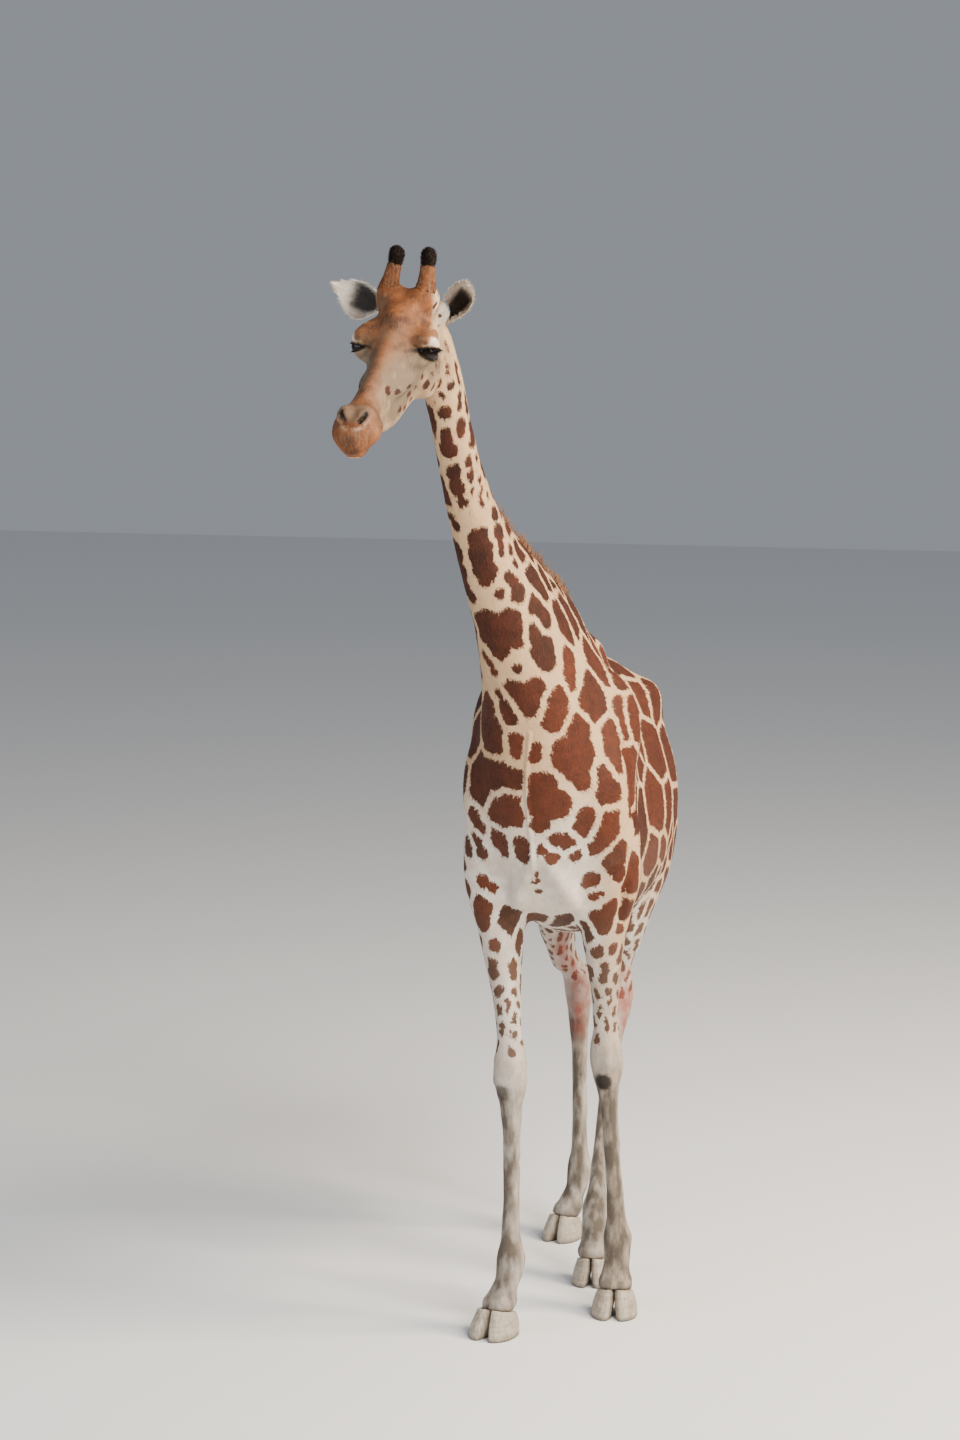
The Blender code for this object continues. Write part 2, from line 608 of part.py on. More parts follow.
def make_head():
    pieces = [loft("skull", [head_ring(Head(*r)) for r in curve_through(HEAD, 4)])]
    for i, (centre, radii) in enumerate(HEAD_SWELLINGS):
        for side in (1, -1):
            place = (centre[0], centre[1] * side, centre[2])
            pieces.append(ellipsoid(f"head_swelling_{i}_{side}", place, radii))
    for i, (centre, radii) in enumerate(HEAD_MIDLINE_SWELLINGS):
        pieces.append(ellipsoid(f"head_middle_{i}", centre, radii))
    return placed(merged("head", pieces, HEAD_VOXEL, 12, HEAD_TRIANGLES))


def ear_blade(ear):
    """A leaf-shaped cup: narrow and rolled at the root, open in the middle, pointed at the tip."""
    forward = ear.along.normalized()
    facing = (ear.faces - forward * ear.faces.dot(forward)).normalized()
    across = forward.cross(facing)
    rings = []
    for t, width, curl in EAR_PROFILE:
        radius = EAR_HALF_WIDTH * width / math.sin(min(curl, math.pi / 2))
        spot = ear.root + forward * (EAR_LENGTH * t)
        ring = []
        steps = range(-EAR_STEPS, EAR_STEPS + 1)
        for thickness, order in ((0.0, steps), (EAR_THICKNESS, reversed(steps))):
            for k in order:
                a = curl * k / EAR_STEPS
                reach = radius - thickness * (1 - 0.7 * abs(k) / EAR_STEPS)
                ring.append(spot + across * (reach * math.sin(a)) - facing * (reach * math.cos(a)))
        rings.append(ring)
    return rings


def make_head_nodes(head, body_whole):
    matrix = head_matrix()
    for side, tag in ((1, "left"), (-1, "right")):
        centre = Vector((EYE.x, EYE.y * side, EYE.z))
        eye = placed(ellipsoid("eyeball", centre, (EYE_RADIUS,) * 3, segments=EYE_SIDES))
        socket = placed(ellipsoid("socket", centre, (EYE_RADIUS + GAP * 3,) * 3, segments=EYE_SIDES))
        head = boolean(head, socket, "DIFFERENCE", "head_socketed")
        node("eye_" + tag, eye, "eye_dark")
        root = Vector((OSSICONE_ROOT.x, OSSICONE_ROOT.y * side, OSSICONE_ROOT.z))
        lean = OSSICONE_LEANS[tag].normalized() * OSSICONE_LENGTH
        stem, tuft = (placed(tube(piece, [root + lean * t for t, _ in rows],
                                  [OSSICONE_RADIUS * r for _, r in rows]))
                      for piece, rows in (("stem", OSSICONE_STEM), ("tuft", OSSICONE_TUFT)))
        head_room = grown(head, GAP, "head_room")
        stem = largest_piece(boolean(stem, head_room, "DIFFERENCE", "stem_cut"), "stem")
        stem = boolean(stem, grown(tuft, GAP, "tuft_room"), "DIFFERENCE", "stem_cut")
        node("ossicone_" + tag, stem, "coat_brown")
        node("ossicone_tuft_" + tag, tuft, "black_hair")
        ear = placed(loft("ear", ear_blade(EARS["ear_" + tag])))
        ear = boolean(ear, head_room, "DIFFERENCE", "ear_cut")
        ear = boolean(ear, grown(body_whole, GAP, "body_room"), "DIFFERENCE", "ear_cut")
        node("ear_" + tag, largest_piece(ear, "ear_whole"), "coat_cream")
    node("head", largest_piece(head, "head_whole"), "coat_brown")


# ------------------------------------------------------------------ mane and tail
def make_mane(body, head):
    """The short upright crest from poll to withers, a thin blade sunk in the neck."""
    rows = [Spine(*r) for r in curve_through(SPINE[MANE_FIRST_SECTION:-1], 2)]
    lines = [Vector((r.x, r.back_y, r.back_z)) for r in rows]
    rings = []
    for i, (row, top) in enumerate(zip(rows, lines)):
        way = (lines[min(i + 1, len(lines) - 1)] - lines[max(i - 1, 0)]).normalized()
        out = way.cross(Vector((1.0, 0.0, 0.0))).normalized()
        out = out if out.z > 0 else -out
        t = i / (len(rows) - 1)
        height = MANE_HEIGHT * min(1.0, 1.9 * (1.0 - t) + 0.15, 0.15 + 1.5 * t)
        ring = []
        for a in turns(MANE_SIDES):
            lift = (height if math.cos(a) > 0 else MANE_ROOT) * math.cos(a)
            ring.append(top + out * lift + Vector((MANE_HALF_WIDTH * math.sin(a), 0.0, 0.0)))
        rings.append(ring)
    crest = loft("crest", rings)
    crest = boolean(crest, grown(body, GAP, "body_room"), "DIFFERENCE", "crest_cut")
    crest = boolean(crest, grown(head, GAP, "head_room"), "DIFFERENCE", "crest_cut")
    node("mane", largest_piece(crest, "mane_whole"), "mane_hair")


def make_tail(body):
    core = tube("tail_core", TAIL_LINE, TAIL_RADII)
    tuft = tube("tail_hair", TAIL_TUFT_LINE, TAIL_TUFT_RADII)
    core = boolean(core, grown(body, GAP, "body_room"), "DIFFERENCE", "tail_cut")
    core = boolean(core, grown(tuft, GAP, "hair_room"), "DIFFERENCE", "tail_cut")
    node("tail", largest_piece(core, "tail_whole"), "coat_brown")
    node("tail_tuft", tuft, "black_hair")


def stand_at_origin():
    """Moves everything so that the origin is under the middle of the bounding box, on the floor."""
    corners = [v.co for made in GIRAFFE.objects for v in made.data.vertices]
    low = [min(c[i] for c in corners) for i in range(3)]
    high = [max(c[i] for c in corners) for i in range(3)]
    shift = Vector((-(low[0] + high[0]) / 2, -(low[1] + high[1]) / 2, -low[2]))
    for made in GIRAFFE.objects:
        made.data.transform(Matrix.Translation(shift))


clear_scene()
GIRAFFE = new_collection("reticulated_giraffe")
WORKSHOP = new_collection("workshop")
whole_body = make_body()
whole_head = make_head()
part_body(whole_body, whole_head)
make_mane(whole_body, whole_head)
make_tail(whole_body)
make_head_nodes(whole_head, whole_body)
stand_at_origin()
for scrap in list(WORKSHOP.objects):
    bpy.data.objects.remove(scrap, do_unlink=True)
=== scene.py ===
import math

import bpy
import numpy as np
from mathutils import Matrix, Vector
from mathutils.bvhtree import BVHTree


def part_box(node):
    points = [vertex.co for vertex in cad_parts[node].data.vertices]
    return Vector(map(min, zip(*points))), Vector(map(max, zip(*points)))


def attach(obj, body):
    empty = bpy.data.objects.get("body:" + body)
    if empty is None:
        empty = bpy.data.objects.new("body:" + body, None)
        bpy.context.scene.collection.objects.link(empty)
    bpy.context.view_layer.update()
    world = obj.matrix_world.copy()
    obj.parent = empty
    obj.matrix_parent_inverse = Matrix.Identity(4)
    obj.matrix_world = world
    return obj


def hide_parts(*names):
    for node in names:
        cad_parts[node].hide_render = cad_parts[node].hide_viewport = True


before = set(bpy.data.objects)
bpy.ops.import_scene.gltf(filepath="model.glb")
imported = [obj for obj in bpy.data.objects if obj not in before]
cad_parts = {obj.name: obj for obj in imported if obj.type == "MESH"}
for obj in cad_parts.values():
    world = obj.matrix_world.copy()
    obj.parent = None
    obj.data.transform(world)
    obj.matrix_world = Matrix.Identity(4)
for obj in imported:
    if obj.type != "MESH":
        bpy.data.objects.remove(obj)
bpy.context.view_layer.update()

# ---------------------------------------------------------------- the hide, one unbroken skin
# Tanned hide stretched over the whole body, head and legs. It is made from the flesh solids grown
# into one, smoothed, and sunk below their surface by the depth of the coat that lies on it.
LIMBS = [f"{end}_{side}" for end in ("fore", "hind") for side in ("left", "right")]
FLESH = ["head", "neck_upper", "neck_lower", "trunk", "tail"]
FLESH += [f"{limb}_{part}" for limb in LIMBS for part in ("upper", "lower")]
OVERLAP = 0.0008  # each solid grows by this, so that neighbours meet
HIDE_VOXEL = 0.0120
COAT_DEPTH = 0.0030


def pick(*objects):
    bpy.ops.object.select_all(action="DESELECT")
    for each in objects:
        each.select_set(True)
    bpy.context.view_layer.objects.active = objects[0]


def change(piece, kind, **settings):
    """Gives a piece a modifier and applies it."""
    pick(piece)
    modifier = piece.modifiers.new(kind.lower(), kind)
    for name, value in settings.items():
        setattr(modifier, name, value)
    bpy.ops.object.modifier_apply(modifier=modifier.name)


def edit(piece, *steps):
    """Runs edit-mode operators, given as (operator, settings), on the whole of a piece."""
    pick(piece)
    bpy.ops.object.mode_set(mode="EDIT")
    bpy.ops.mesh.select_all(action="SELECT")
    for operator, settings in steps:
        operator(**settings)
    bpy.ops.object.mode_set(mode="OBJECT")


def copy_of(node, name):
    """A loose copy of a CAD node, with its triangles joined up."""
    made = bpy.data.objects.new(name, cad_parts[node].data.copy())
    bpy.context.scene.collection.objects.link(made)
    made.data.materials.clear()
    edit(made, (bpy.ops.mesh.remove_doubles, {"threshold": 0.00001}))
    return made


def read(piece, what="co"):
    """The places or normals of a piece's vertices, as rows of three."""
    values = np.empty(len(piece.data.vertices) * 3, np.float32)
    piece.data.vertices.foreach_get(what, values)
    return values.reshape(-1, 3).astype(np.float64)


def write(piece, places):
    piece.data.vertices.foreach_set("co", places.astype(np.float32).ravel())
    piece.data.update()


def edges_of(piece):
    ends = np.empty(len(piece.data.edges) * 2, np.int32)
    piece.data.edges.foreach_get("vertices", ends)
    return ends.reshape(-1, 2)


def blur(values, ends, passes, weight=0.5):
    """Values on the vertices, averaged with their neighbours that many times."""
    count = np.bincount(ends.ravel(), minlength=len(values))
    for _ in range(passes):
        total = np.bincount(ends[:, 0], values[ends[:, 1]], len(values))
        total += np.bincount(ends[:, 1], values[ends[:, 0]], len(values))
        values = values + weight * (total / count - values)
    return values


def step(values, low, high):
    """0 below low, 1 above high, smooth between. Low may be the larger."""
    t = np.clip((values - low) / (high - low), 0.0, 1.0)
    return t * t * (3.0 - 2.0 * t)


class Solids:
    """The flesh solids' surface, which tells how far a point stands out of it, and in which node."""

    def __init__(self):
        corners, faces, self.owner = [], [], []
        for index, name in enumerate(FLESH):
            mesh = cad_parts[name].data
            start = len(corners)
            corners += [v.co.copy() for v in mesh.vertices]
            faces += [[start + i for i in p.vertices] for p in mesh.polygons]
            self.owner += [index] * len(mesh.polygons)
        self.tree = BVHTree.FromPolygons(corners, faces)

    def read(self, places):
        out, nodes = np.empty(len(places)), np.empty(len(places), np.int32)
        for i, place in enumerate(places):
            spot, normal, face, _ = self.tree.find_nearest(Vector(place))
            out[i] = (Vector(place) - spot).dot(normal)
            nodes[i] = self.owner[face]
        return out, nodes


def region(nodes, *words):
    """Which vertices lie on flesh nodes whose names hold one of the words."""
    wanted = [i for i, name in enumerate(FLESH) if any(word in name for word in words)]
    return np.isin(nodes, wanted)


solids = Solids()
parts = [copy_of(name, "hide_" + name) for name in FLESH]
for part in parts:
    change(part, "DISPLACE", strength=OVERLAP, mid_level=0.0)
pick(*parts)
bpy.ops.object.join()
hide = parts[0]
hide.name = hide.data.name = "hide"
change(hide, "REMESH", mode="VOXEL", voxel_size=HIDE_VOXEL)

# The solids' flat facets are smoothed away, most where they are largest, and the hide is then moved
# along its normals so that it keeps the solids' bulk.
_, nodes = solids.read(read(hide))
ends = edges_of(hide)
softness = np.where(region(nodes, "head"), 0.35, np.where(region(nodes, "lower", "tail"), 0.45, 1.0))
softness = blur(softness, ends, 4)
group = hide.vertex_groups.new(name="softness")
for level in range(1, 21):
    chosen = np.flatnonzero(np.round(softness * 20) == level)
    group.add(chosen.tolist(), level / 20, "REPLACE")
change(hide, "SMOOTH", factor=0.5, iterations=16, vertex_group="softness")
hide.vertex_groups.clear()
out, nodes = solids.read(read(hide))
depth = np.where(region(nodes, "head", "lower"), 0.6 * COAT_DEPTH, COAT_DEPTH)
out = blur(out + blur(depth, ends, 4), ends, 9)
write(hide, read(hide) - read(hide, "normal") * out[:, None])

# ---------------------------------------------------------------- forms under the hide
# Bone, muscle and tendon that show through: the brow and cheekbones, nostrils and lips, the ridge down
# the chest, knees, hocks and tendons. Each is a small swelling or hollow pressed into the hide.
HEAD_SCALE = 1.04  # the head's forms are given at this fraction of their size
EYE = np.array((0.213, 0.101, 0.004))  # forward, left and up from the middle of the skull
HEAD_TURN = (Matrix.Rotation(math.radians(-2.7), 3, "Z") @ Matrix.Rotation(math.radians(23.5), 3, "X")
             @ Matrix.Rotation(math.radians(4.6), 3, "Y")
             @ Matrix(((0.0, 1.0, 0.0), (-1.0, 0.0, 0.0), (0.0, 0.0, 1.0))))
LOOK_ASIDE = math.radians(14.5)  # the side from which places on neck, breast and shoulder are given
SKIN_LINES = {  # a ridge and folds of the skin: how far sideways and how high each of their points is
    "ridge": ((0.030, 2.06), (0.022, 1.95), (0.022, 1.85), (0.030, 1.75), (0.045, 1.64), (0.055, 1.55)),
    "shoulder": ((0.345, 1.98), (0.372, 1.85), (0.395, 1.70), (0.380, 1.60), (0.352, 1.50), (0.345, 1.38)),
    "neck": ((-0.100, 2.240), (-0.066, 2.180), (-0.040, 2.120), (-0.022, 2.085)),
    "breast_left": ((0.080, 1.640), (0.105, 1.590), (0.160, 1.500), (0.205, 1.420)),
    "breast_right": ((0.045, 1.640), (0.030, 1.590), (0.005, 1.500), (-0.015, 1.410)),
}
SKIN_FOLDS = (  # line, width, how far it stands out
    ("ridge", 0.007, 0.0080), ("ridge", 0.030, -0.0040), ("shoulder", 0.020, -0.0220),
    ("neck", 0.012, -0.0070), ("breast_left", 0.024, 0.0170), ("breast_right", 0.024, 0.0170),
)


def centre_of(node):
    low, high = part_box(node)
    return (low + high) / 2


HEAD_AXES = np.array(HEAD_TURN)
HEAD_MIDDLE = (np.array(centre_of("eye_left") + centre_of("eye_right")) / 2
               - HEAD_AXES @ (EYE * (1, 0, 1)) * HEAD_SCALE)


def to_head(places):
    """Row frame to the head's own forward, left and up."""
    return (places - HEAD_MIDDLE) @ HEAD_AXES / HEAD_SCALE


def to_half_head(places):
    """The same, with the head's right half laid over its left one."""
    at = to_head(places)
    at[:, 1] = np.abs(at[:, 1])
    return at


def from_head(places):
    return np.asarray(places) * HEAD_SCALE @ HEAD_AXES.T + HEAD_MIDDLE


def swell(places, centre, radii):
    """1 in the middle of an egg-shaped form, fading to 0 outside it."""
    return np.exp(-(((places - np.asarray(centre)) / np.asarray(radii)) ** 2).sum(1))


def near_line(places, line, width):
    """1 on a line through points, fading to 0 beyond its width."""
    best = np.full(len(places), 1e9)
    for start, end in zip(line[:-1], line[1:]):
        start, way = np.asarray(start, float), np.asarray(end, float) - np.asarray(start, float)
        t = np.clip((places - start) @ way / (way @ way), 0.0, 1.0)
        best = np.minimum(best, np.linalg.norm(places - start - t[:, None] * way, axis=1))
    return np.exp(-(best / width) ** 2)


def hide_tree():
    mesh = hide.data
    return BVHTree.FromPolygons([v.co for v in mesh.vertices], [p.vertices for p in mesh.polygons])


def on_hide(tree, sideways, height):
    """The place on the hide that is so far sideways and so high, seen from the left front."""
    across = Vector((math.cos(LOOK_ASIDE), math.sin(LOOK_ASIDE), 0.0))
    ahead = Vector((-math.sin(LOOK_ASIDE), math.cos(LOOK_ASIDE), 0.0))
    spot, normal, _, _ = tree.ray_cast(across * sideways - ahead * 4.0 + Vector((0.0, 0.0, height)), ahead)
    return (np.array(spot), np.array(normal)) if spot else (None, None)


# Swellings (+) and hollows (-) on each side of the head: forward, left, up; radii; height.
HEAD_FORMS = (
    ((0.224, 0.108, 0.030), (0.055, 0.038, 0.040), 0.0150),  # orbit
    ((0.222, 0.105, 0.050), (0.046, 0.030, 0.014), 0.0040),  # brow
    ((0.262, 0.085, 0.030), (0.030, 0.025, 0.014), 0.0020),  # brow's inner end
    ((0.295, 0.074, -0.012), (0.030, 0.020, 0.018), -0.0050),  # tear hollow
    ((0.135, 0.092, 0.056), (0.045, 0.036, 0.034), 0.0140),  # temple
    ((0.080, 0.055, 0.118), (0.060, 0.050, 0.045), 0.0060),  # rise to the horn
    ((0.250, 0.090, -0.046), (0.075, 0.020, 0.013), 0.0045),  # cheekbone
    ((0.330, 0.055, -0.085), (0.080, 0.020, 0.022), -0.0040),  # hollow of the cheek
    ((0.110, 0.075, -0.100), (0.070, 0.030, 0.060), 0.0045),  # chewing muscle
    ((0.370, 0.000, -0.150), (0.130, 0.055, 0.045), 0.0260),  # depth of the jaw
    ((0.190, 0.060, -0.150), (0.090, 0.030, 0.016), 0.0030),  # edge of the jaw
    ((0.480, 0.040, -0.010), (0.060, 0.014, 0.014), 0.0020),  # nasal ridge
    ((0.575, 0.052, -0.045), (0.055, 0.030, 0.040), 0.0100),  # side of the upper lip
    ((0.640, 0.000, -0.028), (0.012, 0.060, 0.008), -0.0035),  # fold between nostrils and lip
    ((0.600, 0.010, 0.010), (0.030, 0.022, 0.020), 0.0030),  # pad between the nostrils
)
# From its front end back, and from the middle of the lips back.
NOSTRIL = ((0.640, 0.023, -0.014), (0.630, 0.031, -0.007), (0.614, 0.036, -0.003))
MOUTH = ((0.668, 0.000, -0.088), (0.655, 0.022, -0.088), (0.620, 0.042, -0.084), (0.575, 0.054, -0.078),
         (0.545, 0.056, -0.070))
CREASES = (  # of the face: line, width, height
    (NOSTRIL, 0.0060, -0.0130), (NOSTRIL, 0.0170, 0.0060), (NOSTRIL, 0.0085, -0.0060),
    (MOUTH, 0.0045, -0.0060), (MOUTH, 0.0130, 0.0020), (MOUTH, 0.0060, -0.0020),
)
# Forms on a leg: which ends, height, its reach up and down, degrees from the toe's side, its reach round
# the leg, how far it stands out. Those that aren't at 0 or 180 degrees are on both sides.
LEG_FORMS = (
    ("fore", 0.905, 0.045, 0, 50, 0.0040), ("fore", 0.940, 0.018, 45, 28, 0.0025),
    ("fore", 0.865, 0.014, 0, 60, 0.0030), ("fore", 0.835, 0.016, 0, 45, -0.0030),
    ("fore", 0.930, 0.030, 180, 35, 0.0080), ("fore", 0.985, 0.030, 75, 30, -0.0035),
    ("hind", 0.940, 0.050, 90, 60, 0.0100), ("hind", 1.070, 0.055, 90, 60, -0.0150),
    ("hind", 0.985, 0.035, 180, 28, 0.0130), ("hind", 1.085, 0.070, 180, 22, 0.0060),
    ("hind", 1.075, 0.060, 125, 28, -0.0100), ("hind", 0.900, 0.035, 0, 45, 0.0040),
    ("hind", 0.885, 0.030, 90, 30, 0.0035), ("", 0.560, 0.200, 180, 24, 0.0040),
    ("", 0.560, 0.200, 122, 16, -0.0045), ("", 0.250, 0.028, 90, 35, 0.0030),
    ("", 0.235, 0.026, 180, 40, 0.0070), ("", 0.175, 0.030, 0, 40, -0.0020),
    ("", 0.112, 0.016, 0, 200, 0.0070), ("", 0.085, 0.060, 0, 12, -0.0050),
)
RIPPLES = 420.0  # of the upper lip's side, radians to a metre


def leg_frame(limb):
    """Places on a leg as height and angle from the side its toe points to."""
    corners = np.concatenate([np.array([v.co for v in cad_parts[f"{limb}_{part}"].data.vertices])
                              for part in ("upper", "lower")])
    heights = np.arange(0.10, 1.60, 0.05)
    middles = []
    for z in heights:
        ring = corners[np.abs(corners[:, 2] - z) < 0.045]
        middles.append((ring.min(0) + ring.max(0))[:2] / 2 if len(ring) else middles[-1])
    toe = np.array(centre_of(limb + "_claw_a") + centre_of(limb + "_claw_b"))[:2] / 2 - middles[3]
    return heights, np.array(middles), math.atan2(toe[1], toe[0])


LEGS = {limb: leg_frame(limb) for limb in LIMBS}


def leg_angle(limb, places):
    """Angle about the leg's middle from the toe's side, in degrees, positive towards the animal's left."""
    heights, middles, toe = LEGS[limb]
    x = places[:, 0] - np.interp(places[:, 2], heights, middles[:, 0])
    y = places[:, 1] - np.interp(places[:, 2], heights, middles[:, 1])
    return (np.degrees(np.arctan2(y, x) - toe) + 180.0) % 360.0 - 180.0


# Eyes and muzzle, where the hide is split once more.
FINE_SPOTS = (((0.22, 0.11, 0.0), (0.06, 0.05, 0.05)), ((0.62, 0.0, -0.05), (0.08, 0.08, 0.06)))


def refine(inside):
    """Splits the hide's faces whose middles are inside."""
    pick(hide)
    bpy.ops.object.mode_set(mode="EDIT")
    bpy.ops.mesh.select_all(action="DESELECT")
    bpy.ops.object.mode_set(mode="OBJECT")
    hide.data.polygons.foreach_set("select", inside(np.array([p.center for p in hide.data.polygons])))
    bpy.ops.object.mode_set(mode="EDIT")
    bpy.ops.mesh.subdivide(number_cuts=1, smoothness=0.0)
    bpy.ops.object.mode_set(mode="OBJECT")


def on_face(places):
    return np.all(np.abs(to_head(places) - (0.35, 0.0, -0.02)) < (0.36, 0.17, 0.17), axis=1)


tree = hide_tree()
LINES = {name: [on_hide(tree, *spot)[0] for spot in line] for name, line in SKIN_LINES.items()}
refine(on_face)
refine(lambda places: np.any([swell(to_half_head(places), *spot) > 0.5 for spot in FINE_SPOTS], axis=0))
refine(lambda places: np.any([near_line(places, LINES[line], 0.03) > 0.4 for line in ("ridge", "shoulder")],
                             axis=0))
refine(lambda places: near_line(places, LINES["ridge"], 0.022) > 0.4)

ends = edges_of(hide)
_, nodes = solids.read(read(hide))


def fill(inside, passes):
    """Fills the grooves between forms where inside is 1, and leaves their tops."""
    for _ in range(passes):
        places, normals = read(hide), read(hide, "normal")
        pull = np.column_stack([blur(places[:, k], ends, 1, 1.0) for k in range(3)]) - places
        along = (pull * normals).sum(1)
        pull += normals * (np.maximum(along, 0.0) * 0.9 + np.minimum(along, 0.0) * 0.15 - along)[:, None]
        write(hide, places + pull * inside[:, None])


head = to_half_head(read(hide))
crown = step(head[:, 2], -0.03, 0.02) * step(head[:, 0], -0.10, -0.04) * step(head[:, 0], 0.36, 0.28)
crown *= step(head[:, 2], 0.19, 0.15) * step(np.linalg.norm(head - (0.20, 0.12, 0.0), axis=1), 0.02, 0.05)
fill(crown, 60)  # passes, here and below
fill(near_line(read(hide), from_head([(0.05, 0.0, -0.14), (-0.02, 0.0, 0.0)]), 0.10), 8)  # jaw to neck
x, y, z = read(hide).T
back = region(nodes, "trunk", "upper") * step(y, -0.35, -0.15) * step(z, 1.55, 1.75)
fill(blur(back, ends, 6), 110)
z = read(hide)[:, 2]
stifles = region(nodes, "hind_left", "hind_right") * step(z, 0.98, 1.08) * step(z, 1.55, 1.40)
fill(blur(stifles, ends, 6), 40)

places, normals = read(hide), read(hide, "normal")
lift = np.zeros(len(places))
head = to_half_head(places)
for centre, radii, height in HEAD_FORMS:
    lift += height * swell(head, centre, radii)
for line, width, height in CREASES:
    lift += height * near_line(head, line, width)
ripple = np.sin(head[:, 0] * RIPPLES + 2.5 * np.sin(head[:, 2] * 90.0))
lift += 0.0005 * ripple * swell(head, (0.60, 0.05, -0.05), (0.06, 0.04, 0.05))
lift *= np.abs(head[:, 0] - 0.35) < 0.36
for line, width, height in SKIN_FOLDS:
    lift += height * near_line(places, LINES[line], width)
for limb in LIMBS:
    mine = region(nodes, limb)
    z, angle = places[mine, 2], leg_angle(limb, places[mine])
    for where, middle, reach, around, spread, height in LEG_FORMS:
        for centre in (around, -around) if around % 180 else (around,):
            turned = (angle - centre + 180.0) % 360.0 - 180.0
            if limb.startswith(where):
                lift[mine] += height * np.exp(-((z - middle) / reach) ** 2 - (turned / spread) ** 2)
write(hide, places + normals * blur(lift, ends, 1)[:, None])

# Lids: around each eye the hide lies on the eyeball, thick above, thin below, with an almond opening.
EYEBALL = 0.0350  # radius, at the head's scale
BEHIND_BALL = EYEBALL - 0.0070  # where the hide lies in the opening, out of sight
EYEBALL_AT = np.array((0.214, 0.0930, 0.008))
LID_HALF_LENGTH = math.radians(74)
LID_THICK, UPPER_THICKER = 0.0022, 0.0030
UPPER_LID = {1: math.radians(23), -1: math.radians(9)}  # the right eye is nearly shut
LOWER_LID = {1: math.radians(21), -1: math.radians(15)}


def eye_ways(side):
    """Outward, forward and upward ways of an eye, in the head's own places."""
    out = Vector((0.68 if side > 0 else 0.40, 0.80 * side, 0.05)).normalized()
    front = Vector((1.0, 0.0, 0.36))
    front = (front - out * front.dot(out)).normalized()
    up = front.cross(out) * side
    return np.array(out), np.array(front), np.array(up)


def lid_places(head, side):
    """Around an eye: distance from its middle, angle forward, angle up, and how far outside the rim."""
    out, front, up = eye_ways(side)
    away = head - EYEBALL_AT * (1, side, 1)
    reach = np.linalg.norm(away, axis=1)
    ahead = np.arctan2(away @ front, away @ out)
    above = np.arcsin(np.clip(away @ up / reach, -1.0, 1.0))
    shut = 1.0 - (ahead / LID_HALF_LENGTH) ** 2
    outside = np.maximum(above - UPPER_LID[side] * shut, -LOWER_LID[side] * shut - above) * EYEBALL
    return away, reach, ahead, above, outside


def from_eyeball(places):
    """How far each place is from the middle of the nearer eyeball."""
    return np.linalg.norm(to_half_head(places) - EYEBALL_AT, axis=1)


head = to_head(read(hide))
for side in (1, -1):  # the hide is drawn out over each ball first, so that its faces lie evenly round it
    away = head - EYEBALL_AT * (1, side, 1)
    drawn = np.exp(-(np.linalg.norm(away, axis=1) / 0.032) ** 2)
    head += 0.016 * drawn[:, None] * eye_ways(side)[0]
write(hide, from_head(head))
refine(lambda places: from_eyeball(places) < 0.030)
head = to_head(read(hide))
for side in (1, -1):
    away, reach, ahead, above, outside = lid_places(head, side)
    upper = step(above, -0.05, 0.25)
    wanted = np.where(outside < 0.0, BEHIND_BALL, EYEBALL + LID_THICK + UPPER_THICKER * upper)
    wanted += (BEHIND_BALL - wanted) * step(outside, 0.0016, 0.0) * (outside >= 0.0)
    wanted -= 0.0022 * np.exp(-((outside - 0.0095) / 0.0022) ** 2) * upper  # crease above the upper lid
    wanted -= 0.0012 * np.exp(-((outside - 0.0060) / 0.0016) ** 2) * (1 - upper)
    wanted += np.maximum(outside - 0.010, 0.0) * 0.25
    blend = step(outside, 0.024, 0.007) * step(np.abs(ahead), 2.0, 1.5) * (reach < 0.075)
    settled = reach + (wanted - reach) * blend
    covered = np.maximum(settled, EYEBALL + 0.0030)  # the hide covers the ball all round the opening
    settled += (covered - settled) * step(outside, 0.0012, 0.0024)
    head += away / reach[:, None] * (settled - reach)[:, None]
write(hide, from_head(head))
edit(hide, (bpy.ops.mesh.quads_convert_to_tris, {}))
hide.data.shade_smooth()

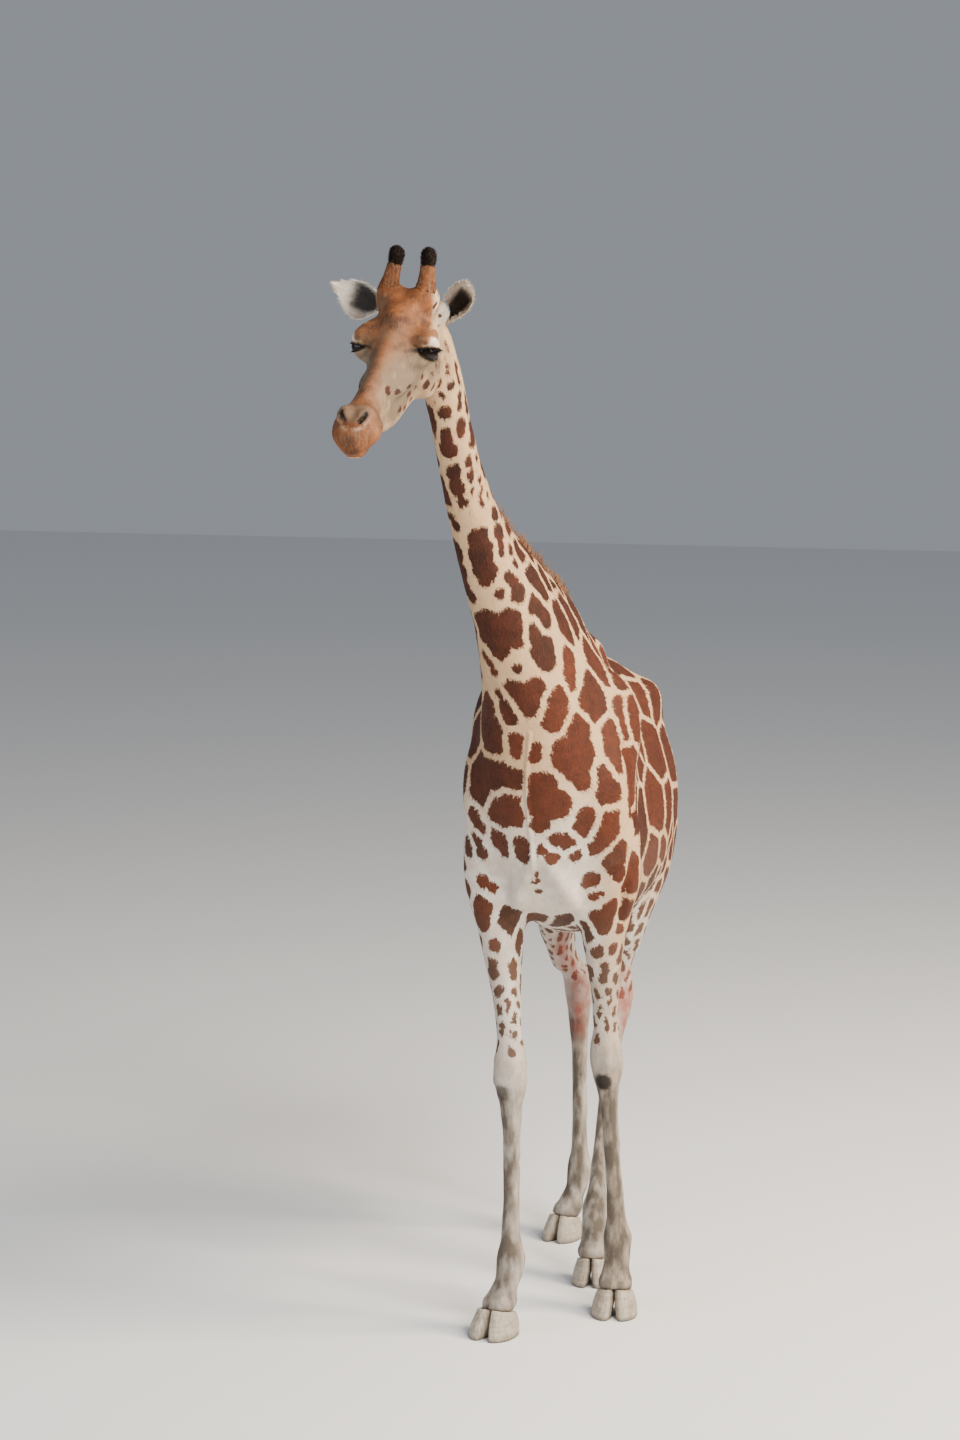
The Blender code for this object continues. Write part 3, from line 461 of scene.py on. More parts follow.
# ---------------------------------------------------------------- markings of the coat
# Brown patches parted by a net of pale lines, as the hair grows in two colours. Each patch is one or
# more round spots that grow until they meet their neighbours; hide and hair carry the same ones.
LINE = 0.021  # width of the pale lines
BREAST_PATCHES = (  # each patch's spots: sideways, height, radius, as seen from the left front
    ((-.025, 2.215, .030), (.044, 2.21, .035), (.015, 2.185, .045), (.033, 2.145, .028)),
    ((.124, 2.17, .035), (.113, 2.115, .045)),
    ((.157, 2.30, .025), (.160, 2.25, .025), (.165, 2.215, .018)),
    ((.235, 2.185, .035), (.245, 2.14, .045), (.215, 2.15, .030)),
    ((.235, 2.275, .035), (.265, 2.235, .035), (.285, 2.205, .020)),
    ((-.112, 2.32, .012), (-.098, 2.295, .013), (-.083, 2.265, .013)),
    ((-.068, 2.19, .016), (-.050, 2.15, .028), (-.031, 2.11, .022)),
    ((-.097, 2.15, .028), (-.100, 2.075, .050), (-.140, 2.02, .050), (-.090, 2.015, .038)),
    ((-.014, 2.04, .024), (-.010, 1.998, .022)),
    ((.046, 1.985, .022), (.050, 2.015, .018)),
    ((.188, 2.06, .045), (.151, 1.99, .055), (.188, 1.97, .060), (.204, 1.90, .032)),
    ((.290, 2.045, .030), (.310, 1.99, .038), (.320, 1.94, .025)),
    ((.335, 2.11, .030), (.360, 2.06, .035), (.360, 2.03, .030)),
    ((.275, 1.905, .030), (.292, 1.85, .042)),
    ((-.127, 1.905, .050), (-.079, 1.92, .050), (-.031, 1.90, .045), (-.127, 1.85, .040)),
    ((-.026, 1.83, .038), (-.020, 1.79, .045), (-.068, 1.78, .040)),
    ((.070, 1.885, .045), (.065, 1.815, .050), (.119, 1.82, .045), (.065, 1.755, .030)),
    ((.215, 1.775, .030), (.207, 1.735, .035)),
    ((.300, 1.765, .030), (.285, 1.71, .045), (.250, 1.665, .028)),
    ((.119, 1.693, .030), (.156, 1.688, .033)),
    ((.076, 1.665, .020), (.108, 1.64, .024)),
    ((.332, 1.65, .025), (.315, 1.605, .040), (.330, 1.56, .022)),
    ((-.149, 1.755, .022), (-.130, 1.72, .022)),
    ((-.180, 1.70, .020), (-.167, 1.64, .020)),
    ((-.140, 1.675, .020), (-.122, 1.63, .020)),
    ((-.066, 1.685, .030), (-.050, 1.645, .016)),
    ((.006, 1.68, .025), (.012, 1.645, .025)),
    ((.310, 1.445, .030), (.275, 1.40, .040), (.280, 1.37, .025)),
    ((-.127, 1.44, .035), (-.127, 1.395, .030)),
)
NECK_PATCHES = (
    ((-.237, 3.108, .020),), ((-.197, 3.245, .012), (-.190, 3.212, .013)),
    ((-.188, 3.155, .010), (-.187, 3.125, .012)), ((-.183, 3.075, .014), (-.187, 3.045, .014)),
    ((-.233, 3.03, .022), (-.228, 2.99, .024)),
    ((-.270, 3.15, .015),), ((-.205, 2.915, .024), (-.193, 2.87, .026), (-.182, 2.82, .016)),
    ((-.160, 2.95, .014), (-.155, 2.90, .016), (-.150, 2.86, .012)), ((-.140, 2.965, .008),),
    ((-.133, 2.89, .010), (-.127, 2.85, .013), (-.122, 2.815, .010)), ((-.107, 2.84, .008),),
    ((-.240, 2.83, .010), (-.225, 2.785, .014), (-.205, 2.745, .012)),
    ((-.082, 2.78, .012), (-.070, 2.72, .018), (-.062, 2.665, .015)),
    ((-.130, 2.705, .030), (-.115, 2.66, .040), (-.110, 2.605, .032), (-.112, 2.57, .018)),
    ((-.205, 2.665, .018), (-.190, 2.60, .018), (-.175, 2.545, .014), (-.158, 2.515, .014)),
    ((-.065, 2.525, .014),), ((-.033, 2.66, .010), (-.018, 2.61, .012)),
    ((-.028, 2.575, .022), (-.012, 2.525, .024)),
    ((.030, 2.585, .020), (.055, 2.545, .022), (.075, 2.515, .015)), ((.105, 2.53, .015),),
    ((-.110, 2.43, .035), (-.095, 2.385, .035), (-.075, 2.34, .032), (-.035, 2.445, .030),
     (-.020, 2.40, .032), (-.012, 2.37, .020), (-.055, 2.40, .020)),
    ((.050, 2.475, .024), (.075, 2.435, .024)),
    ((.120, 2.45, .018), (.140, 2.405, .022), (.160, 2.36, .016)),
    ((.170, 2.455, .016), (.195, 2.42, .022), (.220, 2.385, .014)),
    ((.045, 2.395, .026), (.070, 2.345, .036), (.085, 2.305, .028)), ((-.010, 2.278, .014),),
)
SMALL_SPOTS = (  # lone spots low on the breast, forearms and neck, which do not grow
    ((.233, 1.545, .036),), ((.183, 1.64, .024),), ((.245, 1.488, .020), (.270, 1.495, .012)),
    ((-.120, 1.53, .025), (-.085, 1.51, .020)), ((-.172, 1.49, .020),), ((-.076, 1.31, .030),),
    ((-.050, 1.34, .008), (-.050, 1.31, .010), (-.050, 1.28, .008)), ((.26, 1.285, .030),),
    ((.315, 1.29, .022),), ((.335, 1.36, .020),),
    ((.058, 1.575, .013), (.060, 1.545, .016), (.064, 1.510, .012)),
    ((-.160, 2.783, .004),), ((-.142, 2.783, .004),),
)
CHEEK_TALLER, CHEEK_WIDER = 1.2, 1.5  # the cheeks' spots are drawn larger than the table gives them
CHEEK_LEAST = (0.0100, 0.0085)  # and no smaller than this
CHEEK_SPOTS = (  # on both cheeks: forward, up, half its height, half its width
    (.113, -.087, .022, .007), (.090, -.088, .024, .006), (.062, -.108, .030, .008),
    (.040, -.066, .020, .007), (-.008, -.150, .030, .012), (.140, -.070, .014, .006),
    (.198, -.105, .013, .012), (.163, -.132, .010, .013), (.131, -.140, .018, .008),
    (.100, -.150, .016, .009), (.093, -.194, .012, .016), (.062, -.170, .014, .010),
    (.243, -.092, .012, .006), (.302, -.133, .006, .026), (.345, -.118, .006, .022),
    (.258, -.128, .006, .020), (.285, -.098, .008, .010), (.333, -.052, .008, .007),
    (.360, -.062, .008, .007), (.300, -.066, .008, .006), (.222, -.076, .008, .006),
    (.390, -.040, .007, .006), (.170, -.086, .010, .007), (.427, -.020, .012, .010),
    (.096, .098, .009, .004), (.078, .080, .010, .004), (.090, .060, .009, .004),
    (.062, .100, .009, .004), (.055, .066, .009, .004), (.075, .044, .009, .004),
    (.048, .036, .009, .004), (.105, .040, .009, .004), (.040, .088, .009, .004),
    (.068, .118, .009, .004), (.086, .026, .009, .004), (.060, .012, .009, .004),
)
FLANK_PATCHES = (  # along the flank, which is seen nearly edge on
    ((.389, 2.064, .050),), ((.321, 2.200, .035),), ((.435, 2.055, .045),), ((.484, 2.035, .045),),
    ((.472, 1.887, .060),), ((.536, 1.844, .060),), ((.369, 1.915, .048), (.369, 1.835, .045)),
    ((.471, 1.733, .060), (.480, 1.68, .040)), ((.561, 1.640, .050),), ((.458, 1.545, .050),),
)
CALLUSES = (  # in front, below each fore knee: place, radius, how dark
    ((0.254, 0.160, 0.812), 0.036, 0.93), ((-0.024, -0.138, 0.829), 0.032, 0.72),
)
STAINS = (((-0.085, 1.03, 1.22), (-0.085, 1.033, 1.06), (-0.042, 1.107, 0.943), (-0.03, 1.10, 0.78)),
          ((0.190, 0.85, 1.02), (0.184, 0.83, 0.86)))
random = np.random.default_rng(11)
places, normals = read(hide), read(hide, "normal")
_, nodes = solids.read(places)
tree = hide_tree()
spots = []  # one row a spot: place, outward way, radius, growth, patch number, shade (its darkness: random, with painted shade added on the neck)


def add_patch(found, growth, shade):
    number = spots[-1][8] + 1 if spots else 0
    for place, out, radius in found:
        spots.append((*place, *out, radius, growth, number, shade))


for table, growth in ((BREAST_PATCHES, 1.18), (NECK_PATCHES, 1.38), (FLANK_PATCHES, 1.9),
                      (SMALL_SPOTS, 1.0)):
    for patch in table:
        seen = []
        for across, height, radius in patch:
            spot, out = on_hide(tree, across, height)
            if spot is not None:
                facing = out[0] * math.sin(LOOK_ASIDE) - out[1] * math.cos(LOOK_ASIDE)
                seen.append((spot, out, radius / math.sqrt(max(facing, 0.30))))
        shade = random.uniform(0.35, 0.75) if growth > 1.1 else random.uniform(0.55, 0.9)
        # the neck's listed patches are made darker, as painted shade over the neck
        shade *= 0.35 if table is NECK_PATCHES else 1.0
        add_patch(seen, growth, shade)
for forward, up, tall, wide in CHEEK_SPOTS:
    tall, wide = max(CHEEK_TALLER * tall, CHEEK_LEAST[0]), max(CHEEK_WIDER * wide, CHEEK_LEAST[1])
    for side in (1, -1):
        line = []
        for share in (-1, 0, 1):
            start = from_head((forward - 0.004 * share, 0.30 * side, up + share * max(tall - wide, 0.0)))
            spot, out, _, _ = tree.ray_cast(Vector(start), Vector(HEAD_AXES @ (0.0, -side, 0.0)))
            if spot:
                line.append((np.array(spot), np.array(out), min(tall, wide)))
        if line:
            add_patch(line, 1.05, random.uniform(0.0, 0.35))


def unit(rows):
    return rows / np.maximum(np.linalg.norm(rows, axis=-1, keepdims=True), 1e-9)


def spacing(places, nodes):
    """How far apart the patches that are not named above lie: wide on the flank, close on the legs."""
    z = places[:, 2]
    far = np.interp(z, (0.95, 1.15, 1.45, 1.80), (0.040, 0.055, 0.090, 0.135))
    far = np.where(region(nodes, "trunk"), np.where(z < 1.55, 0.10, 0.155), far)
    far = np.where(region(nodes, "neck"), np.interp(z, (2.0, 2.4, 3.2), (0.14, 0.115, 0.065)), far)
    return np.where(region(nodes, "tail"), 0.07, np.where(region(nodes, "head"), 0.060, far))


def along_body(places, nodes, normals):
    """The way the hair lies: back over the head, down the neck and legs, back and down on the trunk."""
    way = np.tile((0.0, 0.10, -1.0), (len(places), 1))
    way[region(nodes, "trunk")] = (0.0, 0.85, -0.50)
    way[region(nodes, "neck")] = (0.10, 0.35, -1.0)
    way[region(nodes, "head")] = HEAD_AXES @ (-1.0, 0.0, 0.25)
    return unit(way - normals * (way * normals).sum(1)[:, None])


far_apart = spacing(places, nodes)
ways = along_body(places, nodes, normals)
ahead = to_head(places)[:, 0]
x, y, z = places.T
# No patches of these grow below the knees, on the face and crown, between the forelegs, and on the front
# of the breast, where the tables above have them all.
bare = (z < 0.97) | region(nodes, "head") & (ahead > -0.02)
bare |= (ahead > 0.04) & (z > 3.1) | (ahead > -0.07) & (z > 3.2)
bare |= (z > 1.38) & (z < 1.64) & (y < 0.15) & (np.abs(x - 0.07) < 0.17)
across = x * math.cos(LOOK_ASIDE) + y * math.sin(LOOK_ASIDE)
facing = normals[:, 0] * math.sin(LOOK_ASIDE) - normals[:, 1] * math.cos(LOOK_ASIDE)
bare |= (facing > 0.30) & (z > 1.24) & (y < -0.25) & (across < 0.355)
order = random.permutation(np.flatnonzero(~bare))[:30000]
known = np.array([row[:3] for row in spots])
known_out = np.array([row[3:6] for row in spots])
known_far = np.array([row[6] for row in spots])
for fullness in (1.0, 0.78):
    for i in order:
        gap = np.sqrt(((known - places[i]) ** 2).sum(1) + (0.08 * (1.0 - known_out @ normals[i])) ** 2)
        if np.any(gap < known_far + fullness * far_apart[i] * 0.50):
            continue
        long_way = ways[i] + random.normal(0.0, 0.5 if region(nodes[i:i + 1], "trunk")[0] else 0.12, 3)
        found = []
        for share in ((-0.5, 0.5) if far_apart[i] < 0.06 else (-0.62, 0.0, 0.62)):
            at = places[i] + long_way * share * far_apart[i] * 0.55
            at += random.normal(0.0, 0.10 * far_apart[i], 3)
            spot, out, _, _ = tree.find_nearest(Vector(at))
            found.append((np.array(spot), np.array(out), far_apart[i] * random.uniform(0.20, 0.30)))
        # patches above 2.6 m are made darker, as painted shade over the upper neck
        add_patch(found, 2.3 if places[i, 2] > 1.35 else 1.45,
                  random.uniform(0.15, 0.75) * (0.5 if places[i, 2] > 2.6 else 1.0))
        known = np.vstack((known, [each[0] for each in found]))
        known_out = np.vstack((known_out, [each[1] for each in found]))
        known_far = np.concatenate((known_far, [far_apart[i] * 0.30] * len(found)))
spots = np.array(spots)


def patch_field(places, normals):
    """How deep each place lies in its patch, less than 0 on the pale lines, and the patch's shade."""
    depth, shade = np.empty(len(places)), np.empty(len(places))
    numbers = spots[:, 8].astype(int)
    starts = np.flatnonzero(np.diff(numbers, prepend=-1))
    for start in range(0, len(places), 4000):
        here, out = places[start:start + 4000], normals[start:start + 4000]
        gap = ((here[:, None, :] - spots[None, :, :3]) ** 2).sum(2)
        gap += (0.10 * (1.0 - out @ spots[:, 3:6].T)) ** 2
        power = gap - spots[:, 6] ** 2
        best = np.minimum.reduceat(power, starts, axis=1)
        rows = np.arange(len(here))
        first = best.argmin(1)
        mine = np.where(numbers[None, :] == first[:, None], power, 1e9).argmin(1)
        others = np.where(numbers[None, :] == first[:, None], 1e9, power)
        second = others.argmin(1)
        apart = np.linalg.norm(spots[mine, :3] - spots[second, :3], axis=1)
        border = (others[rows, second] - power[rows, mine]) / (2.0 * np.maximum(apart, 0.02))
        grown = np.where(numbers[None, :] == first[:, None],
                         spots[:, 6] * spots[:, 7] - np.sqrt(gap), -1e9).max(1)
        depth[start:start + 4000] = np.minimum(border - LINE / 2, grown)
        shade[start:start + 4000] = spots[mine, 9]
    return np.clip(depth, -0.03, 0.03), shade


TEAR_LINE = ((0.255, 0.090, 0.032), (0.268, 0.072, 0.036), (0.282, 0.052, 0.036))
# the line below the nostrils along which a pale painted highlight is drawn
NOSTRIL_HIGHLIGHT_LINE = ((0.656, 0.012, -0.034), (0.648, 0.034, -0.026), (0.624, 0.048, -0.016))
CROWN_SIDE = ((0.060, 0.112, 0.050), (0.085, 0.036, 0.080))
BROW = ((0.215, 0.110, 0.052), (0.055, 0.050, 0.022))
NOSE = ((0.612, 0.018, 0.000), (0.046, 0.050, 0.034))
# On top of the head, by how far forward: half the rust's width, and between which heights it sets in.
RUST_WIDTH = ((0.06, 0.16, 0.22, 0.30, 0.45, 0.60), (0.078, 0.092, 0.104, 0.056, 0.038, 0.034))
RUST_SPOTS = (0.0, 0.2, 0.3, 0.6)
RUST_LOW, RUST_HIGH = (0.03, 0.012, 0.0, -0.03), (0.06, 0.045, 0.02, 0.0)
SMOKE = (  # centre, radii, amount
    ((0.285, 0.072, -0.022), (0.045, 0.030, 0.028), 0.85),
    ((0.352, 0.046, -0.010), (0.030, 0.020, 0.022), 0.60),
    ((0.350, 0.060, -0.055), (0.170, 0.075, 0.095), 2.00),
    ((0.170, 0.100, -0.060), (0.140, 0.075, 0.095), 1.35),
    ((0.050, 0.100, 0.040), (0.060, 0.050, 0.070), 0.55),
    ((0.262, 0.020, 0.075), (0.055, 0.030, 0.040), 0.55),
    ((0.675, 0.010, -0.052), (0.030, 0.030, 0.024), 0.28),
)
SMOKE_ON_RIGHT = ((0.129, -0.058, 0.105), (0.022, 0.018, 0.020))
LOOKS = ("look", "face", "wear_and_painted_shade", "root")


def body_looks(places, normals, nodes):
    """What the hair's colour follows: three rows of three, each from 0 to 1 apart from the first."""
    head, at = to_head(places), to_half_head(places)
    forward, side, up = at.T
    depth, shade = patch_field(places, normals)
    z = places[:, 2]
    legs = region(nodes, *LIMBS)
    on_head = step(forward, -0.02, 0.05) * (z > 3.0)
    # white: under the breast and belly, inside the legs, lower legs, sides of the crown
    crown_side = swell(at, *CROWN_SIDE)
    white = np.max([step(z, 1.98, 1.60) * step(np.abs(places[:, 0]), 0.36, 0.22),
                    region(nodes, "trunk") * step(normals[:, 2], -0.35, -0.85) * 0.8,
                    legs * step(z, 1.25, 1.0) * 0.65, step(crown_side, 0.25, 0.6)], axis=0)
    # rust: bridge of the nose, forehead, orbits, crown and upper lip
    strip = np.interp(forward, *RUST_WIDTH)
    top = step(up, np.interp(forward, RUST_SPOTS, RUST_LOW), np.interp(forward, RUST_SPOTS, RUST_HIGH))
    muzzle = np.maximum(step(forward, 0.50, 0.55), step(forward, 0.46, 0.52) * step(up, -0.065, -0.035))
    brow = step(swell(at, *BROW), 0.35, 0.65)
    rust = np.max([step(side, strip + 0.010, strip - 0.006) * top, muzzle, brow], axis=0) * on_head
    rust *= 1.0 - step(crown_side, 0.20, 0.5)
    # smoke: round the nostrils, between the eyes, below and before the eye
    # painted highlight: a pale line along each nostril rim, which whitens the hair there and takes out its
    # rust and smoke
    rim = 0.38 * near_line(at, NOSTRIL_HIGHLIGHT_LINE, 0.0060) * on_head
    white, rust = np.maximum(white, rim), rust * (1.0 - rim)
    smoke = [amount * swell(at, centre, radii) for centre, radii, amount in SMOKE]
    smoke += [0.85 * step(swell(at, *NOSE), 0.30, 0.75) * (1.0 - rim), 0.75 * swell(head, *SMOKE_ON_RIGHT)]
    smoke = np.max(smoke, axis=0)
    # dark: rims of lids and nostrils, inside the mouth line, the tear line before the eye
    dark = np.max([0.98 * step(near_line(at, NOSTRIL, 0.0090), 0.30, 0.62),
                   0.80 * near_line(at, MOUTH, 0.0050), near_line(at, TEAR_LINE, 0.0050)], axis=0)
    bright = np.zeros(len(places))
    for each in (1, -1):
        _, reach, ahead, above, outside = lid_places(head, each)
        near = (reach < 0.06) * step(np.abs(ahead), 1.9, 1.5)
        dark = np.maximum(dark, near * step(outside, 0.0080, 0.0055))
        bright = np.maximum(bright, near * step(outside, 0.0085, 0.0105) * step(outside, 0.029, 0.023)
                            * step(above, 0.25, 0.45) * step(ahead, 0.9, 0.4))
    white = np.maximum(white, bright)
    rust, smoke, dark = rust * (1 - bright), smoke * on_head * (1 - bright), dark * on_head
    # grey down the legs, partly dirt and partly painted shade; painted shade on the lower trunk under the
    # belly and along the breast folds; dirt down the fronts of the cannons and on the feet, calluses, a pink
    # stain
    dirt_and_painted_shade = legs * (0.34 * step(z, 1.5, 1.1) + 0.32 * step(z, 1.0, 0.80) + 0.20 * step(z, 0.22, 0.10))
    # painted shade: the lower trunk is greyed where the belly lies in shade
    dirt_and_painted_shade += 0.16 * region(nodes, "trunk") * step(z, 1.70, 1.55)
    stain = 0.80 * np.max([near_line(places, line, 0.050) for line in STAINS], axis=0)
    # painted shade: a darker line along each breast fold
    for fold in ("breast_left", "breast_right"):
        dirt_and_painted_shade += 0.22 * near_line(places, LINES[fold], 0.012) * step(z, 1.66, 1.58)
    for limb in LIMBS:
        in_front = np.exp(-(leg_angle(limb, places) / 50.0) ** 2)
        dirt_and_painted_shade += region(nodes, limb) * 0.75 * in_front * step(z, 0.84, 0.76) * step(z, 0.14, 0.22)
    for callus, radius, strength in CALLUSES:
        dark = np.maximum(dark, strength * step(swell(places, callus, (radius, 0.05, radius)), 0.35, 0.60))
    faded = 0.6 * legs * step(z, 1.55, 1.15) + 0.20 * white
    return (np.column_stack((depth, shade, white)), np.column_stack((rust, smoke, dark)),
            np.column_stack((np.clip(dirt_and_painted_shade, 0, 1), stain, np.clip(faded, 0, 1))))


def carry(piece, rows, domain="POINT"):
    """Writes the looks, and the place that the patterns are read at, onto a piece."""
    for name, values in zip(LOOKS, rows):
        layer = piece.data.attributes.new(name, "FLOAT_VECTOR", domain)
        layer.data.foreach_set("vector", np.ascontiguousarray(values, np.float32).ravel())


hide_looks = [*body_looks(places, normals, nodes), places]
carry(hide, hide_looks)


# ---------------------------------------------------------------- hide and hair, what they look like
# Short glossy hair over tanned hide: reddish-brown patches with slightly frayed edges on buff to white,
# rust on the face. The streaks are drawn 6 mm wide, far coarser than hairs, so that they show.
def colour(code):
    """sRGB hex to the linear colour that a socket takes."""
    parts = [int(code[i:i + 2], 16) / 255.0 for i in (1, 3, 5)]
    return (*[c / 12.92 if c <= 0.04045 else ((c + 0.055) / 1.055) ** 2.4 for c in parts], 1.0)


def add(tree, kind, inputs=None, **settings):
    """Adds a node: settings are its properties, inputs its sockets' values or links."""
    made = tree.nodes.new(kind)
    for name, value in settings.items():
        setattr(made, name, value)
    for name, value in (inputs or {}).items():
        if isinstance(value, bpy.types.NodeSocket):
            tree.links.new(value, made.inputs[name])
        else:
            made.inputs[name].default_value = value
    return made


def material(name):
    made = bpy.data.materials.new(name)
    made.use_nodes = True
    tree = made.node_tree
    shader = tree.nodes["Principled BSDF"]
    return made, tree, shader


def blend_of(tree, amount, first, second):
    """The colour between two, by amount."""
    mixed = add(tree, "ShaderNodeMix", {"Factor": amount}, data_type="RGBA")
    for socket, value in ((mixed.inputs[6], first), (mixed.inputs[7], second)):
        if isinstance(value, bpy.types.NodeSocket):
            tree.links.new(value, socket)
        else:
            socket.default_value = value
    return mixed.outputs[2]


def sum_of(tree, first, second, operation="ADD", clamp=False):
    made = add(tree, "ShaderNodeMath", {0: first, 1: second}, operation=operation, use_clamp=clamp)
    return made.outputs[0]


def share_of(tree, value, low, high, to_low=0.0, to_high=1.0):
    made = add(tree, "ShaderNodeMapRange", {"Value": value, "From Min": low, "From Max": high,
                                            "To Min": to_low, "To Max": to_high})
    return made.outputs[0]


def noise_at(tree, vector, scale, detail=3.0, stretch=(1.0, 1.0, 1.0)):
    if stretch != (1.0, 1.0, 1.0):
        vector = add(tree, "ShaderNodeVectorMath", {0: vector, 1: stretch}, operation="MULTIPLY").outputs[0]
    made = add(tree, "ShaderNodeTexNoise", {"Vector": vector, "Scale": scale, "Detail": detail})
    return made.outputs["Fac"]


def hair_material(name):
    made, tree, shader = material(name)
    read_out = {}
    for layer in LOOKS:
        read_out[layer] = add(tree, "ShaderNodeAttribute", attribute_name=layer).outputs["Vector"]
    root = read_out["root"]
    parts = {layer: add(tree, "ShaderNodeSeparateXYZ", {0: read_out[layer]}).outputs for layer in LOOKS[:3]}
    depth, shade, white = parts["look"]
    rust, smoke, dark = parts["face"]
    dirt_and_painted_shade, stain, faded = parts["wear_and_painted_shade"]
    frayed = share_of(tree, noise_at(tree, root, 95.0, 4.0), 0.3, 0.7, -0.0050, 0.0050)
    cloudy = noise_at(tree, root, 22.0, 4.0)
    streaks = noise_at(tree, root, 150.0, 2.0, (1.0, 1.0, 0.22))
    fine = noise_at(tree, root, 420.0, 2.0, (1.0, 1.0, 0.30))
    patch = share_of(tree, sum_of(tree, depth, frayed), -0.0016, 0.0022)
    pale = blend_of(tree, white, colour("#c4a480"), colour("#ddd6cb"))
    pale = blend_of(tree, share_of(tree, cloudy, 0.35, 0.75, 0.0, 0.45), pale, colour("#b98f66"))
    rusty = blend_of(tree, share_of(tree, cloudy, 0.30, 0.70), colour("#452412"), colour("#8a512b"))
    streaky = share_of(tree, streaks, 0.2, 0.8, -0.25, 0.25)
    pale = blend_of(tree, sum_of(tree, rust, streaky, clamp=True), pale, rusty)
    smoky = share_of(tree, cloudy, 0.3, 0.7, 0.50, 1.10)
    pale = blend_of(tree, sum_of(tree, smoke, smoky, "MULTIPLY", True), pale, colour("#6b5b49"))
    # the patches' brown is darker where their shade is low, which on the neck holds painted shade
    toned = sum_of(tree, shade, share_of(tree, cloudy, 0.25, 0.75, -0.25, 0.25))
    brown = blend_of(tree, share_of(tree, toned, 0.0, 1.0), colour("#1d0a05"), colour("#592814"))
    brown = blend_of(tree, share_of(tree, fine, 0.35, 0.8, 0.0, 0.28), brown, colour("#804324"))
    brown = blend_of(tree, share_of(tree, faded, 0.0, 1.0, 0.0, 0.60), brown, colour("#5d4331"))
    skin = blend_of(tree, patch, pale, brown)
    uneven = share_of(tree, noise_at(tree, root, 34.0, 5.0, (1.0, 1.0, 0.35)), 0.30, 0.65, 0.60, 1.15)
    # grey from dirt on the legs, and painted shade on the legs, under the belly and along the breast folds
    skin = blend_of(tree, sum_of(tree, dirt_and_painted_shade, uneven, "MULTIPLY", True), skin, colour("#595046"))
    skin = blend_of(tree, sum_of(tree, stain, share_of(tree, cloudy, 0.3, 0.7, 0.45, 1.1), "MULTIPLY", True),
                    skin, colour("#86392f"))
    skin = blend_of(tree, dark, skin, colour("#17110e"))
    lit = share_of(tree, sum_of(tree, streaks, fine), 0.6, 1.4, 0.80, 1.16)
    skin = add(tree, "ShaderNodeVectorMath", {0: skin, "Scale": lit}, operation="SCALE").outputs[0]
    tree.links.new(skin, shader.inputs["Base Color"])
    relief = {"Height": sum_of(tree, streaks, fine), "Distance": 0.004, "Strength": 0.35}
    bump = add(tree, "ShaderNodeBump", relief)
    tree.links.new(bump.outputs[0], shader.inputs["Normal"])
    shader.inputs["Roughness"].default_value = 0.66
    shader.inputs["Specular IOR Level"].default_value = 0.22
    return made


HAIR = hair_material("short giraffe hair over tanned hide")
hide.data.materials.append(HAIR)
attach(hide, "root")
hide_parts(*FLESH)

# ---------------------------------------------------------------- eyes
# Glass eyes, as a taxidermist sets them: a dark brown iris with a wide level pupil on a glossy
# bulging front. Each is a turned ball set deep in its socket behind the lids.
FRONT_BULGE = 0.0035


def glass_eye(side, name, node):
    out, front, up = eye_ways(side)
    middle = from_head(EYEBALL_AT * (1, side, 1))
    bpy.ops.object.select_all(action="DESELECT")
    bpy.ops.mesh.primitive_uv_sphere_add(segments=48, ring_count=32, radius=EYEBALL * HEAD_SCALE)
    eye = bpy.context.object
    eye.name = eye.data.name = name
    ball = read(eye)
    height = ball[:, 2] / (EYEBALL * HEAD_SCALE)
    ball[:, 2] += FRONT_BULGE * step(height, 0.72, 1.0)
    turn = HEAD_AXES @ np.column_stack((front, up * side * -1, out))
    iris = np.column_stack((ball[:, 0], ball[:, 1], height))
    write(eye, ball @ turn.T + middle)
    layer = eye.data.attributes.new("iris", "FLOAT_VECTOR", "POINT")
    layer.data.foreach_set("vector", iris.astype(np.float32).ravel())
    edit(eye, (bpy.ops.mesh.normals_make_consistent, {}))
    eye.data.shade_smooth()
    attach(eye, "root")
    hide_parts(node)
    return eye


made, tree_, shader = material("glass eye, dark brown iris")
at = add(tree_, "ShaderNodeAttribute", attribute_name="iris").outputs["Vector"]
x, y, z = add(tree_, "ShaderNodeSeparateXYZ", {0: at}).outputs
wide = add(tree_, "ShaderNodeVectorMath", {0: at, 1: (1.0, 2.2, 0.0)}, operation="MULTIPLY").outputs[0]
pupil = share_of(tree_, add(tree_, "ShaderNodeVectorMath", {0: wide}, operation="LENGTH").outputs["Value"],
                 0.0120, 0.0135)
rays = noise_at(tree_, at, 300.0, 3.0)
iris = blend_of(tree_, rays, colour("#0c0806"), colour("#22130c"))
iris = blend_of(tree_, pupil, colour("#040303"), iris)
iris = blend_of(tree_, share_of(tree_, z, 0.62, 0.55), iris, colour("#0d0908"))
tree_.links.new(iris, shader.inputs["Base Color"])
shader.inputs["Roughness"].default_value = 0.12
shader.inputs["IOR"].default_value = 1.38
shader.inputs["Specular IOR Level"].default_value = 0.35
for side, word in ((1, "left"), (-1, "right")):
    glass_eye(side, "glass_eye_" + word, "eye_" + word).data.materials.append(made)

# ---------------------------------------------------------------- horns of bone under skin (ossicones)
# Two blunt bony knobs covered with skin, broad where they rise from the brow, rusty below and with a
# ring of black hair round the top. Each is worked from its solid, smoothed, with its hair set on later.
def smoothed_copy(node, name, cuts, passes):
    piece = copy_of(node, name)
    change(piece, "SUBSURF", subdivision_type="SIMPLE", levels=cuts, render_levels=cuts)
    places, ends = read(piece), edges_of(piece)
    write(piece, np.column_stack([blur(places[:, k], ends, passes) for k in range(3)]))
    piece.data.shade_smooth()
    return piece


